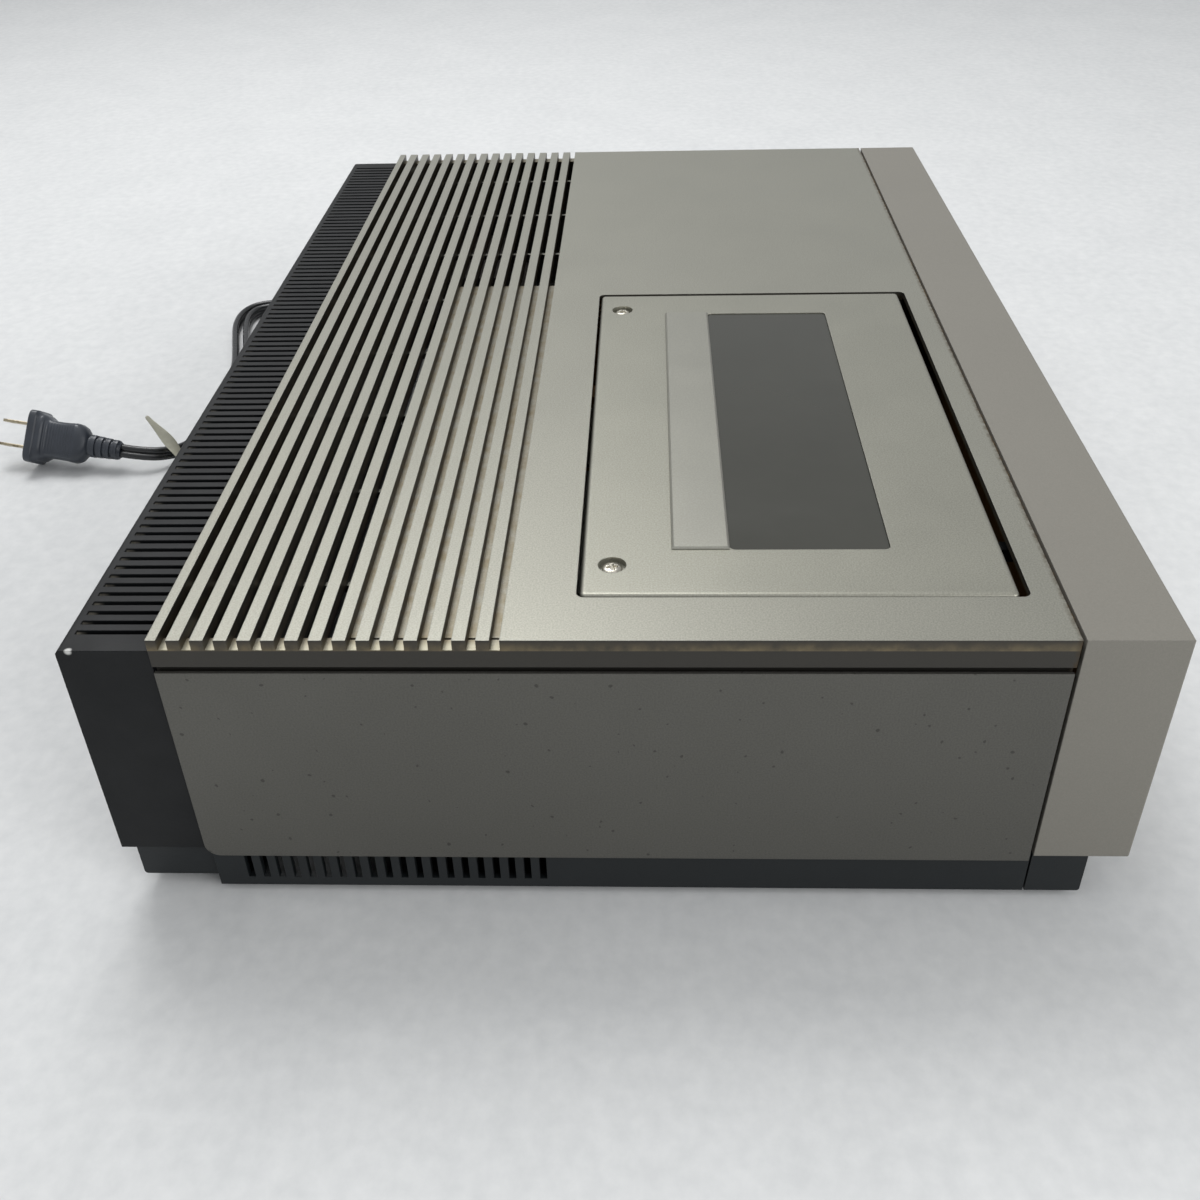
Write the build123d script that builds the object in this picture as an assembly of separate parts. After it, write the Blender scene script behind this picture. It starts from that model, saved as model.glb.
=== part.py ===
from build123d import *
import os
from math import cos, pi, radians, sin, sqrt, tan

# A top-loading video cassette recorder of about 1980, in millimetres.
# +Z is up, the front faces -Y and +X is to the right as seen from the front. The origin is on the
# floor under the middle of the casing. The left side (-X) holds the cassette lid and the tape deck.

# ---------------------------------------------------------------- casing, overall
WIDTH = 480.0
DEPTH = 335.0
HEIGHT = 110.5              # floor to the top cover
FOOT_HEIGHT = 3.2
FOOT_RADIUS = 6.0
WALL = 2.5                  # moulded walls
SEAM = 1.2                  # dark joint between the front bezel and the shells behind it
FIT_GAP = 0.3               # running gap between pieces that move or slip together
EDGE_ROUND = 0.8

LEFT = -WIDTH / 2
RIGHT = WIDTH / 2
FRONT = -DEPTH / 2
REAR = DEPTH / 2

# ---------------------------------------------------------------- top cover
BEZEL_DEPTH = 31.0
REAR_COVER_DEPTH = 28.6
COVER_FRONT = FRONT + BEZEL_DEPTH + SEAM
COVER_REAR = REAR - REAR_COVER_DEPTH - FIT_GAP
SKIRT_HEIGHT = 10.0
SHADOW_GROOVE = 2.5         # dark groove between the top cover and the side panels
RIB_COUNT = 15
RIB_PITCH = 7.08
GROOVE_WIDTH = 3.0
GROOVE_DEPTH = 3.6
GROOVE_FLOOR = 1.9
REAR_RIB_WIDTH = 3.2
FULL_VENT_GROOVES = 8       # rearmost grooves that are open slots all along
VENT_END = 6.0              # solid floor left at each end of a slot
VENT_SPLIT_X = 40.0         # the other grooves are open slots only to the right of this
END_SLIT_WIDTH = 0.8        # thin slit near the end of a closed groove
WEB_HEIGHT = 2.5
WEB_WIDTH = 2.0
WEB_SPACING = 58.0
RIB_ZONE_FRONT = COVER_REAR - REAR_RIB_WIDTH - GROOVE_WIDTH - (RIB_COUNT - 1) * RIB_PITCH
GROOVE_BASE = HEIGHT - GROOVE_DEPTH
RIB_UNDERSIDE = GROOVE_BASE - GROOVE_FLOOR
SKIRT_BOTTOM = HEIGHT - SKIRT_HEIGHT

# ---------------------------------------------------------------- cassette lid
LID_OPENING_X0 = LEFT + 21.7
LID_OPENING_WIDTH = 237.8
LID_OPENING_Y0 = FRONT + 41.5
LID_OPENING_DEPTH = 137.8
LID_OPENING_ROUND = 2.5
LID_GAP = 1.0               # at the sides and the rear
LID_FRONT_GAP = 3.0         # room for the holder's lower edge as it swings out
LID_THICK = 3.0
LID_ROUND = 1.5
UNDERCUT = 1.3              # relief under the opening's rear edge, where the lid dips as it opens
HINGE_INSET = 4.0           # hinge axis, forward of the lid's rear edge
HINGE_DROP = 6.0            # hinge axis, below the top
HINGE_PIN_RADIUS = 1.5
EAR_RADIUS = 2.9
STRIP_DEPTH = 18.6
STRIP_RISE = 1.0
STRIP_THICK = 1.8
WINDOW_DEPTH = 51.4
WINDOW_THICK = 2.0
WINDOW_SINK = 0.4
WINDOW_LEDGE = 2.0
WINDOW_INSET_LEFT = 26.2    # window's left end from the opening's left edge
WINDOW_INSET_RIGHT = 22.5
WINDOW_FRONT_INSET = 38.1   # window's front edge from the opening's front edge
LID_SCREW_OFFSET = 101.2    # each lid screw from the lid's middle
LID_SCREW_INSET = 9.7       # lid screws forward of the lid's rear edge
LID_SCREW_HEAD = 3.25
LID_SCREW_SHANK = 1.5
LID_RECESS_RADIUS = 4.5
LID_RECESS_DEPTH = 2.2

LID_X0 = LID_OPENING_X0 + LID_GAP
LID_X1 = LID_OPENING_X0 + LID_OPENING_WIDTH - LID_GAP
LID_Y0 = LID_OPENING_Y0 + LID_FRONT_GAP
LID_Y1 = LID_OPENING_Y0 + LID_OPENING_DEPTH - LID_GAP
LID_BOTTOM = HEIGHT - LID_THICK
HINGE_Y = LID_Y1 - HINGE_INSET
HINGE_Z = HEIGHT - HINGE_DROP
WINDOW_X0 = LID_OPENING_X0 + WINDOW_INSET_LEFT
WINDOW_X1 = LID_OPENING_X0 + LID_OPENING_WIDTH - WINDOW_INSET_RIGHT
WINDOW_Y0 = LID_OPENING_Y0 + WINDOW_FRONT_INSET
WINDOW_Y1 = WINDOW_Y0 + WINDOW_DEPTH

# ---------------------------------------------------------------- cassette and holder
CASSETTE_WIDTH = 188.0
CASSETTE_DEPTH = 104.0
CASSETTE_HEIGHT = 25.0
CASSETTE_PLAY = 0.7         # side play in the holder
CASSETTE_X = LID_OPENING_X0 + LID_OPENING_WIDTH / 2
REEL_SPACING = 92.0
REEL_FROM_FLAP = 62.0
REEL_Y = (WINDOW_Y0 + WINDOW_Y1) / 2
FLAP_Y = REEL_Y + REEL_FROM_FLAP
CASSETTE_BASE = HEIGHT - 36.5   # the cassette's underside when it plays
HOLDER_SHEET = 1.3
HOLDER_LEDGE = 12.0
HOLDER_FRONT_EXTRA = 12.5   # holder's mouth, in front of the cassette
MOUTH_HALF = 60.0           # half the cut-back in the top sheet at the mouth
MOUTH_DEPTH = 12.0
HOLDER_X = CASSETTE_WIDTH / 2 + CASSETTE_PLAY
HOLDER_TOP = CASSETTE_BASE + CASSETTE_HEIGHT + 1.0
HOLDER_Y0 = FLAP_Y - CASSETTE_DEPTH - HOLDER_FRONT_EXTRA
HOLDER_Y1 = FLAP_Y + 0.5
BRACKET_SHEET = 2.0
BRACKET_GAP = 0.6
BRACKET_FOOT = 6.5
SPRING_LENGTH = 5.0
SPRING_TURNS = 4
SPRING_WIRE = 0.35
SPRING_RADIUS = 2.1
LATCH_TONGUE = 2.5
LATCH_Y = HOLDER_Y0 - LATCH_TONGUE - 7.0
LATCH_Z = CASSETTE_BASE + 11.0
LATCH_HUB = 3.0
LATCH_HALF = 2.2
LATCH_PIN_RADIUS = 1.5
LATCH_THICK = 6.0
LATCH_ARM_Y = LATCH_Y - LATCH_HALF - FIT_GAP
LATCH_NOSE = HOLDER_Y0 - LATCH_TONGUE - 0.8

# ---------------------------------------------------------------- tape deck
DECK_SHEET = 1.5
DECK_TOP = CASSETTE_BASE - 14.0
DECK_X0 = LEFT + 20.0
DECK_X1 = 6.0
DECK_Y0 = COVER_FRONT + 4.5
DECK_Y1 = 98.0
DRUM_RADIUS = 31.0
DRUM_FROM_FLAP = 47.5
DRUM_TILT = 5.97
LOWER_DRUM_HEIGHT = 20.0
UPPER_DRUM_HEIGHT = 12.0
DRUM_SHAFT_RADIUS = 3.0
DRUM_BASE = 6.0
DRUM_SPLIT = 0.35
DRUM_X = CASSETTE_X
DRUM_Y = FLAP_Y + DRUM_FROM_FLAP
TAPE_BOTTOM = CASSETTE_BASE + 6.0
TAPE_TOP = TAPE_BOTTOM + 12.7
PIVOT_POST_RADIUS = 2.0
PIVOT_POST_TOP = DECK_TOP + 8.0
REEL_TABLE_BASE = DECK_TOP + 2.0
SPINDLE_TOP = CASSETTE_BASE + 10.0
REEL_TABLE_RADIUS = 19.0
REEL_HUB_RADIUS = 10.5
SPINDLE_RADIUS = 5.0
REEL_POST_RADIUS = 2.0
SHAFT_CLEARANCE = 0.05      # radial, for a running fit
CAPSTAN_X = CASSETTE_X + 70.0
CAPSTAN_Y = FLAP_Y + 6.5
CAPSTAN_RADIUS = 2.0
CAPSTAN_TIP = TAPE_BOTTOM + 18.0
FLYWHEEL_RADIUS = 28.0
FLYWHEEL_THICK = 10.0
FLYWHEEL_BOTTOM = DECK_TOP - 23.0
MOTOR_RADIUS = 24.0
MOTOR_HEIGHT = 12.0
MOTOR_LEG_RADIUS = 2.5
MOTOR_LEG_ANGLES = (-20, 100, 220)
PINCH_PIVOT = (CASSETTE_X + 91.4, FLAP_Y + 31.5)
PINCH_ARM_LENGTH = 25.4
PINCH_REST_ANGLE = -168.6
PINCH_RADIUS = 6.8
PINCH_HEIGHT = 18.0
PINCH_BOTTOM = CASSETTE_BASE + 2.0
LOAD_PIVOT_OFFSET = 8.0
LOAD_PIVOT_Y = FLAP_Y + 29.1
LOAD_ARM_LENGTH = 42.7
LOAD_REST_ANGLE = -59.0
LOAD_SWEEP = 100.0
LOAD_ARM_TOP = DECK_TOP - 5.0
LOAD_ARM_THICK = 2.0
GUIDE_RADIUS = 3.5
GUIDE_POST_TOP = TAPE_BOTTOM + 17.0
TENSION_PIVOT = (CASSETTE_X - 85.6, FLAP_Y + 23.5)
TENSION_ARM_LENGTH = 38.2
TENSION_REST_ANGLE = -51.8
HEAD_OFFSET_X = 65.4
HEAD_OFFSET_Y = 45.5

# ---------------------------------------------------------------- side panels and base
PANEL_THICK = 1.3
PANEL_BOTTOM = 19.1
PANEL_TOP = HEIGHT - SKIRT_HEIGHT - SHADOW_GROOVE
PANEL_CORNER = 5.0
PANEL_RIM = 2.0
PANEL_RIM_HEIGHT = 2.5
TONGUE_BOTTOM = PANEL_TOP - 4.0
TONGUE_THICK = 1.5
BASE_INSET = 1.6
BASE_BOTTOM = FOOT_HEIGHT
BASE_WALL_TOP = 27.0
BASE_REAR = COVER_REAR - 1.3
VENT_COUNT = 20
VENT_PITCH = 5.28
VENT_WIDTH = 2.4
VENT_REAR_MARGIN = 10.4     # rearmost side vent from the base's rear face
VENT_BOTTOM = 7.0
VENT_HEIGHT = 16.0
FLOOR_SLOT_COUNT = 10
FLOOR_SLOT_PITCH = 9.0
FLOOR_SLOT_WIDTH = 3.0
FLOOR_SLOT_Y0 = 40.0
FLOOR_SLOT_Y1 = 66.0
PLINTH_SET_BACK = 12.4      # plinth's front face behind the bezel's
FOOT_INSET_X = 11.0
FOOT_FRONT = 53.0
FOOT_REAR = 266.0
POST_RADIUS = 4.5
CORNER_POST_INSET = 13.0
CASE_SCREW_HEAD = 3.4
CASE_SCREW_SHANK = 1.7
CASE_SCREW_LENGTH = 14.0

# ---------------------------------------------------------------- rear cover and lower rear piece
REAR_COVER_TOP = HEIGHT - 4.7
REAR_COVER_BOTTOM = 21.9
REAR_COVER_INSET = 1.0
REAR_SLOT_COUNT = 92
REAR_SLOT_PITCH = 5.05
REAR_SLOT_WIDTH = 2.0
REAR_SLOT_FRONT = 1.3       # from the cover's front edge
REAR_SLOT_REAR = 3.2        # from the cover's rear face
REAR_BASE_INSET_X = 4.0
REAR_BASE_INSET_Y = 3.3
REAR_BASE_BOTTOM = 5.8
REAR_BASE_OVERLAP = 6.0
JACK_X = 150.0
JACK_Z = 66.0
JACK_WIDTH = 120.0
JACK_HEIGHT = 46.0
JACK_RECESS = 15.0
JACK_SHEET = 1.5
JACK_LENGTH = 8.0

# ---------------------------------------------------------------- front bezel and its controls
BEZEL_BOTTOM = 21.5
FACE_STEP = (HEIGHT - BEZEL_BOTTOM) / 178   # the front's layout stands on a grid of 178 steps
BEZEL_FACE = 3.0
BEZEL_REAR = FRONT + BEZEL_DEPTH
INNER_FACE = FRONT + BEZEL_FACE
BEZEL_TABS = (-200.0, -60.0, 80.0, 200.0)
BEZEL_TAB_HALF = 5.0
BEZEL_TAB_THICK = 2.0
BEZEL_TAB_REACH = 3.0       # past the top cover's front lip
KEY_RECESS = 2.2
KEY_RECESS_X0 = LEFT + 16.0
KEY_RECESS_X1 = 20.0
KEY_RECESS_Z0 = BEZEL_BOTTOM + 25 * FACE_STEP
KEY_RECESS_Z1 = BEZEL_BOTTOM + 77 * FACE_STEP
KEY_GAP = 0.4
KEY_LIP = 1.5
KEY_TRAVEL = 2.0
KEY_STEM = 5.0
KEY_COUNT = 6
KEY_WIDTH = 33.0
KEY_HEIGHT = 30 * FACE_STEP
KEY_PITCH = 38.0
KEY_Z = (KEY_RECESS_Z0 + KEY_RECESS_Z1) / 2
KEY_X0 = (KEY_RECESS_X0 + KEY_RECESS_X1) / 2 - KEY_PITCH * (KEY_COUNT - 1) / 2
SMALL_KEY_WIDTH = 22.0
SMALL_KEY_HEIGHT = 18 * FACE_STEP
SMALL_KEY_Z = BEZEL_BOTTOM + 149 * FACE_STEP
POWER_X = LEFT + 34.0
EJECT_X = LEFT + 68.0
CHANNEL_X = 212.0
CHANNEL_SPACING = 32 * FACE_STEP
CHANNEL_WIDTH = 16.0
DISPLAY_X0 = 62.0
DISPLAY_X1 = 192.0
DISPLAY_Z0 = BEZEL_BOTTOM + 93 * FACE_STEP
DISPLAY_Z1 = BEZEL_BOTTOM + 153 * FACE_STEP
DISPLAY_THICK = 2.0
DISPLAY_SINK = 0.5
DOOR_X0 = 60.0
DOOR_X1 = 222.0
DOOR_Z0 = BEZEL_BOTTOM + 17 * FACE_STEP
DOOR_Z1 = BEZEL_BOTTOM + 75 * FACE_STEP
DOOR_THICK = 2.4
DOOR_PIN_RADIUS = 0.8
DOOR_PIN_LENGTH = 2.2
POCKET_DEPTH = 9.0
POCKET_WALL = 1.5
POCKET_LEDGE = 2.5          # rim of the tray behind the door's edges
KNOB_X = DOOR_X0 + 32.0
KNOB_RADIUS = 7.0
KNOB_HEIGHT = 5.5
KNOB_SHAFT = 2.5
SWITCH_X = DOOR_X0 + 74.0
SWITCH_TRAVEL = 5.0
SWITCH_LEVER = 3.0
BOARD_THICK = 1.6
BOARD_Y = FRONT + 20.0      # front face of the control board
BOARD_Z0 = 30.0
BOARD_Z1 = HEIGHT - 7.5
SWITCH_REACH = 6.0          # a key switch and its plunger, in front of the board
SWITCH_BODY = SWITCH_REACH - KEY_TRAVEL - FIT_GAP

# ---------------------------------------------------------------- electronics
MAIN_BOARD_X0 = 16.0
MAIN_BOARD_X1 = 228.0
MAIN_BOARD_Y0 = -118.0
MAIN_BOARD_Y1 = 44.0
MAIN_BOARD_Z = 14.0
TRANSFORMER_X = 188.0
TRANSFORMER_Y = 88.0
CORE_WIDTH = 66.0
CORE_DEPTH = 34.0
CORE_HEIGHT = 55.0
TUNER_X0 = 28.0
TUNER_X1 = 118.0
TUNER_Y0 = 62.0
TUNER_Y1 = 118.0
TUNER_HEIGHT = 26.0

# ---------------------------------------------------------------- mains cord
CORD_RADIUS = 2.6           # a round cord of the same section as the flat twin cord
CORD_BASE = 3.8             # height of the cord's middle where it lies on the floor
CORD_EXIT_X = -84.0
CORD_EXIT_Z = 40.0
RELIEF_LENGTH = 24.0
RELIEF_RADIUS = 5.0
RELIEF_FLANGE = 7.0
HANK_PITCH = 6.0
WAIST = (51.5, REAR + 60.05)
FAR_TURN_INNER = 12.3
FAR_TURN = (251.0, WAIST[1] + FAR_TURN_INNER)
NEAR_TURN = (-158.0, REAR + 27.5)
NEAR_TURN_RADIUS = 12.0
NEAR_TURN_ANGLE = 20.0      # slant of the hank's near end
HANK_START_X = 12.0
HANK_END_X = 85.0
TIE_WIDTH = 6.5
TIE_THICK = 0.9
TIE_SLACK = 0.25
PLUG_AXIS = (0.14, 0.985, 0.1)
PLUG_ROW = (0.576, -0.193, 0.794)
PLUG_RELIEF = 20.0
PLUG_BODY = 30.0
PLUG_WIDTH = 28.0
PLUG_THICK = 19.0
BLADE_SPACING = 12.7
BLADE_WIDTH = 6.3
BLADE_THICK = 1.5
BLADE_LENGTH = 17.5


# ================================================================ helpers
def block(x0, x1, y0, y1, z0, z1):
    """A box between two corners."""
    return Pos((x0 + x1) / 2, (y0 + y1) / 2, (z0 + z1) / 2) * Box(x1 - x0, y1 - y0, z1 - z0)


def post(x, y, z0, z1, radius):
    """An upright round post."""
    return Pos(x, y, (z0 + z1) / 2) * Cylinder(radius, z1 - z0)


def rod_x(x0, x1, y, z, radius):
    """A round rod along X."""
    return Pos((x0 + x1) / 2, y, z) * Rot(0, 90, 0) * Cylinder(radius, x1 - x0)


def rod_y(x, y0, y1, z, radius):
    """A round rod along Y."""
    return Pos(x, (y0 + y1) / 2, z) * Rot(90, 0, 0) * Cylinder(radius, y1 - y0)


def bar_x(points, x0, x1):
    """A profile drawn as (y, z) points, carried along X."""
    face = make_face(Polyline(*[(x0, y, z) for y, z in points], close=True))
    return extrude(face, amount=x1 - x0, dir=(1, 0, 0))


def bar_y(points, y0, y1):
    """A profile drawn as (x, z) points, carried along Y."""
    face = make_face(Polyline(*[(x, y0, z) for x, z in points], close=True))
    return extrude(face, amount=y1 - y0, dir=(0, 1, 0))


def plate(x0, x1, y0, y1, z0, z1, corner):
    """A flat plate with round upright corners."""
    outline = RectangleRounded(x1 - x0, y1 - y0, corner)
    return Pos((x0 + x1) / 2, (y0 + y1) / 2, z0) * extrude(outline, amount=z1 - z0)


def front_plate(x, z, width, height, y0, y1, corner):
    """A plate that faces the front, with round corners, from y0 back to y1."""
    outline = Plane.XZ * RectangleRounded(width, height, corner)
    return Pos(x, y0, z) * extrude(outline, amount=y1 - y0, dir=(0, 1, 0))


def on_circle(centre, radius, angle):
    """The point at an angle in degrees on a circle."""
    return (centre[0] + radius * cos(radians(angle)), centre[1] + radius * sin(radians(angle)))


def save(node, shape):
    """Write one sub-part."""
    export_step(shape, f"parts/{node}.step")


def group(solids):
    """Several separate solids as one sub-part."""
    return Compound(children=[s for solid in solids for s in solid.solids()])


# ================================================================ casing
def groove_edges(number):
    """Front and rear edge of a groove, counted from 0 at the rear."""
    rear = COVER_REAR - REAR_RIB_WIDTH - number * RIB_PITCH
    return rear - GROOVE_WIDTH, rear


def top_cover():
    """The ribbed top shell with its slots, skirts and lid opening."""
    ribbed_front = RIB_ZONE_FRONT - WALL
    outline = [(COVER_FRONT, HEIGHT)]
    for number in reversed(range(RIB_COUNT)):
        front, rear = groove_edges(number)
        outline += [(front, HEIGHT), (front, GROOVE_BASE), (rear, GROOVE_BASE), (rear, HEIGHT)]
    outline += [
        (COVER_REAR, HEIGHT),
        (COVER_REAR, SKIRT_BOTTOM),
        (COVER_REAR - WALL, SKIRT_BOTTOM),
        (COVER_REAR - WALL, RIB_UNDERSIDE),
        (ribbed_front, RIB_UNDERSIDE),
        (ribbed_front, HEIGHT - WALL),
        (COVER_FRONT + WALL, HEIGHT - WALL),
        (COVER_FRONT + WALL, SKIRT_BOTTOM),
        (COVER_FRONT, SKIRT_BOTTOM),
    ]
    cover = bar_x(outline, LEFT, RIGHT)

    # the side skirts, and the tongues that close the shadow groove behind the side panels
    under = [
        (COVER_REAR, RIB_UNDERSIDE),
        (ribbed_front, RIB_UNDERSIDE),
        (ribbed_front, HEIGHT - WALL),
        (COVER_FRONT, HEIGHT - WALL),
    ]
    skirt = [(COVER_FRONT, SKIRT_BOTTOM), (COVER_REAR, SKIRT_BOTTOM)] + under
    tongue = [(COVER_FRONT, TONGUE_BOTTOM), (COVER_REAR, TONGUE_BOTTOM)] + under
    cover += bar_x(skirt, LEFT, LEFT + WALL)
    cover += bar_x(skirt, RIGHT - WALL, RIGHT)
    cover += bar_x(tongue, LEFT + WALL, LEFT + WALL + TONGUE_THICK)
    cover += bar_x(tongue, RIGHT - WALL - TONGUE_THICK, RIGHT - WALL)

    # the open slots in the groove floors
    slots = []
    for number in range(RIB_COUNT):
        front, rear = groove_edges(number)
        start = LEFT + VENT_END if number < FULL_VENT_GROOVES else VENT_SPLIT_X
        slots.append(block(start, RIGHT - VENT_END, front, rear, RIB_UNDERSIDE - 1, GROOVE_BASE + 1))
        if number >= FULL_VENT_GROOVES:
            slit = LEFT + VENT_END - END_SLIT_WIDTH
            slots.append(block(slit, slit + END_SLIT_WIDTH, front, rear, RIB_UNDERSIDE - 1, GROOVE_BASE + 1))
    cover -= slots

    # cross webs under the ribs
    web_count = int((WIDTH - 2 * VENT_END) / WEB_SPACING)
    first_web = -WEB_SPACING * (web_count - 1) / 2
    for number in range(web_count):
        middle = first_web + number * WEB_SPACING
        cover += block(middle - WEB_WIDTH / 2, middle + WEB_WIDTH / 2, RIB_ZONE_FRONT - WALL,
                       COVER_REAR - WALL, RIB_UNDERSIDE - WEB_HEIGHT, RIB_UNDERSIDE)

    # the lid opening, undercut at the rear
    opening_x1 = LID_OPENING_X0 + LID_OPENING_WIDTH
    opening_y1 = LID_OPENING_Y0 + LID_OPENING_DEPTH
    cover -= plate(LID_OPENING_X0, opening_x1, LID_OPENING_Y0, opening_y1,
                   SKIRT_BOTTOM - 1, HEIGHT + 1, LID_OPENING_ROUND)
    cover -= bar_x(
        [
            (opening_y1 - 1, HEIGHT - WALL - 1),
            (opening_y1 + UNDERCUT, HEIGHT - WALL - 1),
            (opening_y1 + UNDERCUT, HEIGHT - WALL),
            (opening_y1, HEIGHT - WALL + UNDERCUT),
            (opening_y1 - 1, HEIGHT - WALL + UNDERCUT),
        ],
        LID_OPENING_X0,
        opening_x1,
    )
    for x in (LID_OPENING_X0 - WALL / 2, opening_x1):
        cover += block(x, x + WALL / 2, LID_OPENING_Y0, opening_y1 - 10, HEIGHT - 8, HEIGHT - WALL)

    # notches in the front lip for the bezel's tabs
    tab_top = HEIGHT - WALL
    for x in BEZEL_TABS:
        cover -= block(x - BEZEL_TAB_HALF - FIT_GAP, x + BEZEL_TAB_HALF + FIT_GAP, COVER_FRONT - 1,
                       COVER_FRONT + WALL, tab_top - BEZEL_TAB_THICK - 2 * FIT_GAP, tab_top)

    # bosses that land on the base's corner posts
    for x, y in corner_posts():
        cover += post(x, y, PANEL_TOP + 1, RIB_UNDERSIDE + 0.5 if y > 0 else HEIGHT - WALL, POST_RADIUS)
    return cover


def corner_posts():
    """Places of the four posts that carry the top cover."""
    x = RIGHT - CORNER_POST_INSET
    front = COVER_FRONT + 10
    rear = COVER_REAR - 12
    return [(-x, front), (x, front), (-x, rear), (x, rear)]


def side_panel(side):
    """A thin painted side panel with a stiffening rim inside; side is -1 for the left."""
    outer = side * RIGHT
    inner = side * (RIGHT - PANEL_THICK)
    y0, y1 = COVER_FRONT, COVER_REAR
    sheet = block(min(outer, inner), max(outer, inner), y0, y1, PANEL_BOTTOM, PANEL_TOP)
    rear_corner = sheet.edges().filter_by(Axis.X).group_by(Axis.Y)[-1].sort_by(Axis.Z)[0]
    sheet = fillet(rear_corner, PANEL_CORNER)
    deep = side * (RIGHT - PANEL_THICK - PANEL_RIM_HEIGHT)
    rim_z0 = BASE_WALL_TOP + FIT_GAP
    rim_z1 = TONGUE_BOTTOM - FIT_GAP
    rim = block(min(inner, deep), max(inner, deep), y0 + 3, y1 - 3, rim_z0, rim_z1)
    rim -= block(min(inner, deep) - 1, max(inner, deep) + 1, y0 + 3 + PANEL_RIM, y1 - 3 - PANEL_RIM,
                 rim_z0 + PANEL_RIM, rim_z1 - PANEL_RIM)
    return sheet + rim


def base_tray():
    """The black base: floor, slotted side walls and the posts that carry the deck and the boards."""
    x1 = RIGHT - BASE_INSET
    y0 = BEZEL_REAR + FIT_GAP
    y1 = BASE_REAR
    tray = block(-x1, x1, y0, y1, BASE_BOTTOM, BASE_WALL_TOP)
    tray -= block(-x1 + WALL, x1 - WALL, y0 + WALL, y1 - WALL, BASE_BOTTOM + WALL, BASE_WALL_TOP + 1)
    # the front wall is lower, because the bezel stands above it
    tray -= block(-x1 - 1, x1 + 1, y0 - 1, COVER_FRONT, BEZEL_BOTTOM, BASE_WALL_TOP + 1)
    # upright vents along both sides
    vents = []
    for number in range(VENT_COUNT):
        y = y1 - VENT_REAR_MARGIN - number * VENT_PITCH
        for x in (-x1, x1 - WALL):
            vents.append(block(x - 1, x + WALL + 1, y - VENT_WIDTH, y,
                               VENT_BOTTOM, VENT_BOTTOM + VENT_HEIGHT))
    # slots in the floor, in front of the transformer and under the deck
    for number in range(FLOOR_SLOT_COUNT):
        for middle in (TRANSFORMER_X, CASSETTE_X):
            at = middle + (number - FLOOR_SLOT_COUNT / 2) * FLOOR_SLOT_PITCH
            vents.append(block(at, at + FLOOR_SLOT_WIDTH, FLOOR_SLOT_Y0, FLOOR_SLOT_Y1,
                               BASE_BOTTOM - 1, BASE_BOTTOM + WALL + 1))
    tray -= vents
    floor = BASE_BOTTOM + WALL
    for x, y in deck_supports():
        tray += post(x, y, floor, DECK_TOP - DECK_SHEET, POST_RADIUS)
    for x, y in corner_posts():
        tray += post(x, y, floor, PANEL_TOP + 1, POST_RADIUS)
        tray -= post(x, y, BASE_BOTTOM - 1, BASE_BOTTOM + CASE_SCREW_LENGTH, CASE_SCREW_SHANK)
    for x, y in board_supports():
        tray += post(x, y, floor, MAIN_BOARD_Z, POST_RADIUS - 1)
    # pads under the transformer and the tuner
    tray += block(TRANSFORMER_X - CORE_WIDTH / 2, TRANSFORMER_X + CORE_WIDTH / 2,
                  TRANSFORMER_Y - CORE_DEPTH / 2, TRANSFORMER_Y + CORE_DEPTH / 2, floor, MAIN_BOARD_Z - 4)
    for x in (TUNER_X0 + 8, TUNER_X1 - 8):
        for y in (TUNER_Y0 + 8, TUNER_Y1 - 8):
            tray += post(x, y, floor, MAIN_BOARD_Z, POST_RADIUS - 1)
    return tray


def deck_supports():
    """Places of the posts under the tape deck."""
    return [(x, y) for x in (DECK_X0 + 22, DECK_X1 - 8) for y in (DECK_Y0 + 26, DECK_Y1 - 10)]


def board_supports():
    """Places of the posts under the main board."""
    columns = (MAIN_BOARD_X0 + 6, MAIN_BOARD_X1 - 18)
    rows = (MAIN_BOARD_Y0 + 18, MAIN_BOARD_Y1 - 8)
    return [(x, y) for x in columns for y in rows]


def front_plinth():
    """The black channel under the bezel, in front of the base."""
    x1 = RIGHT - BASE_INSET
    y0 = FRONT + PLINTH_SET_BACK
    y1 = BEZEL_REAR - FIT_GAP
    plinth = block(-x1, x1, y0, y1, BASE_BOTTOM, BEZEL_BOTTOM)
    plinth -= block(-x1 + WALL, x1 - WALL, y0 + WALL, y1 + 1, BASE_BOTTOM + WALL, BEZEL_BOTTOM - WALL)
    return fillet(plinth.edges().filter_by(Axis.X).group_by(Axis.Z)[0].sort_by(Axis.Y)[0], 1.0)


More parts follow.
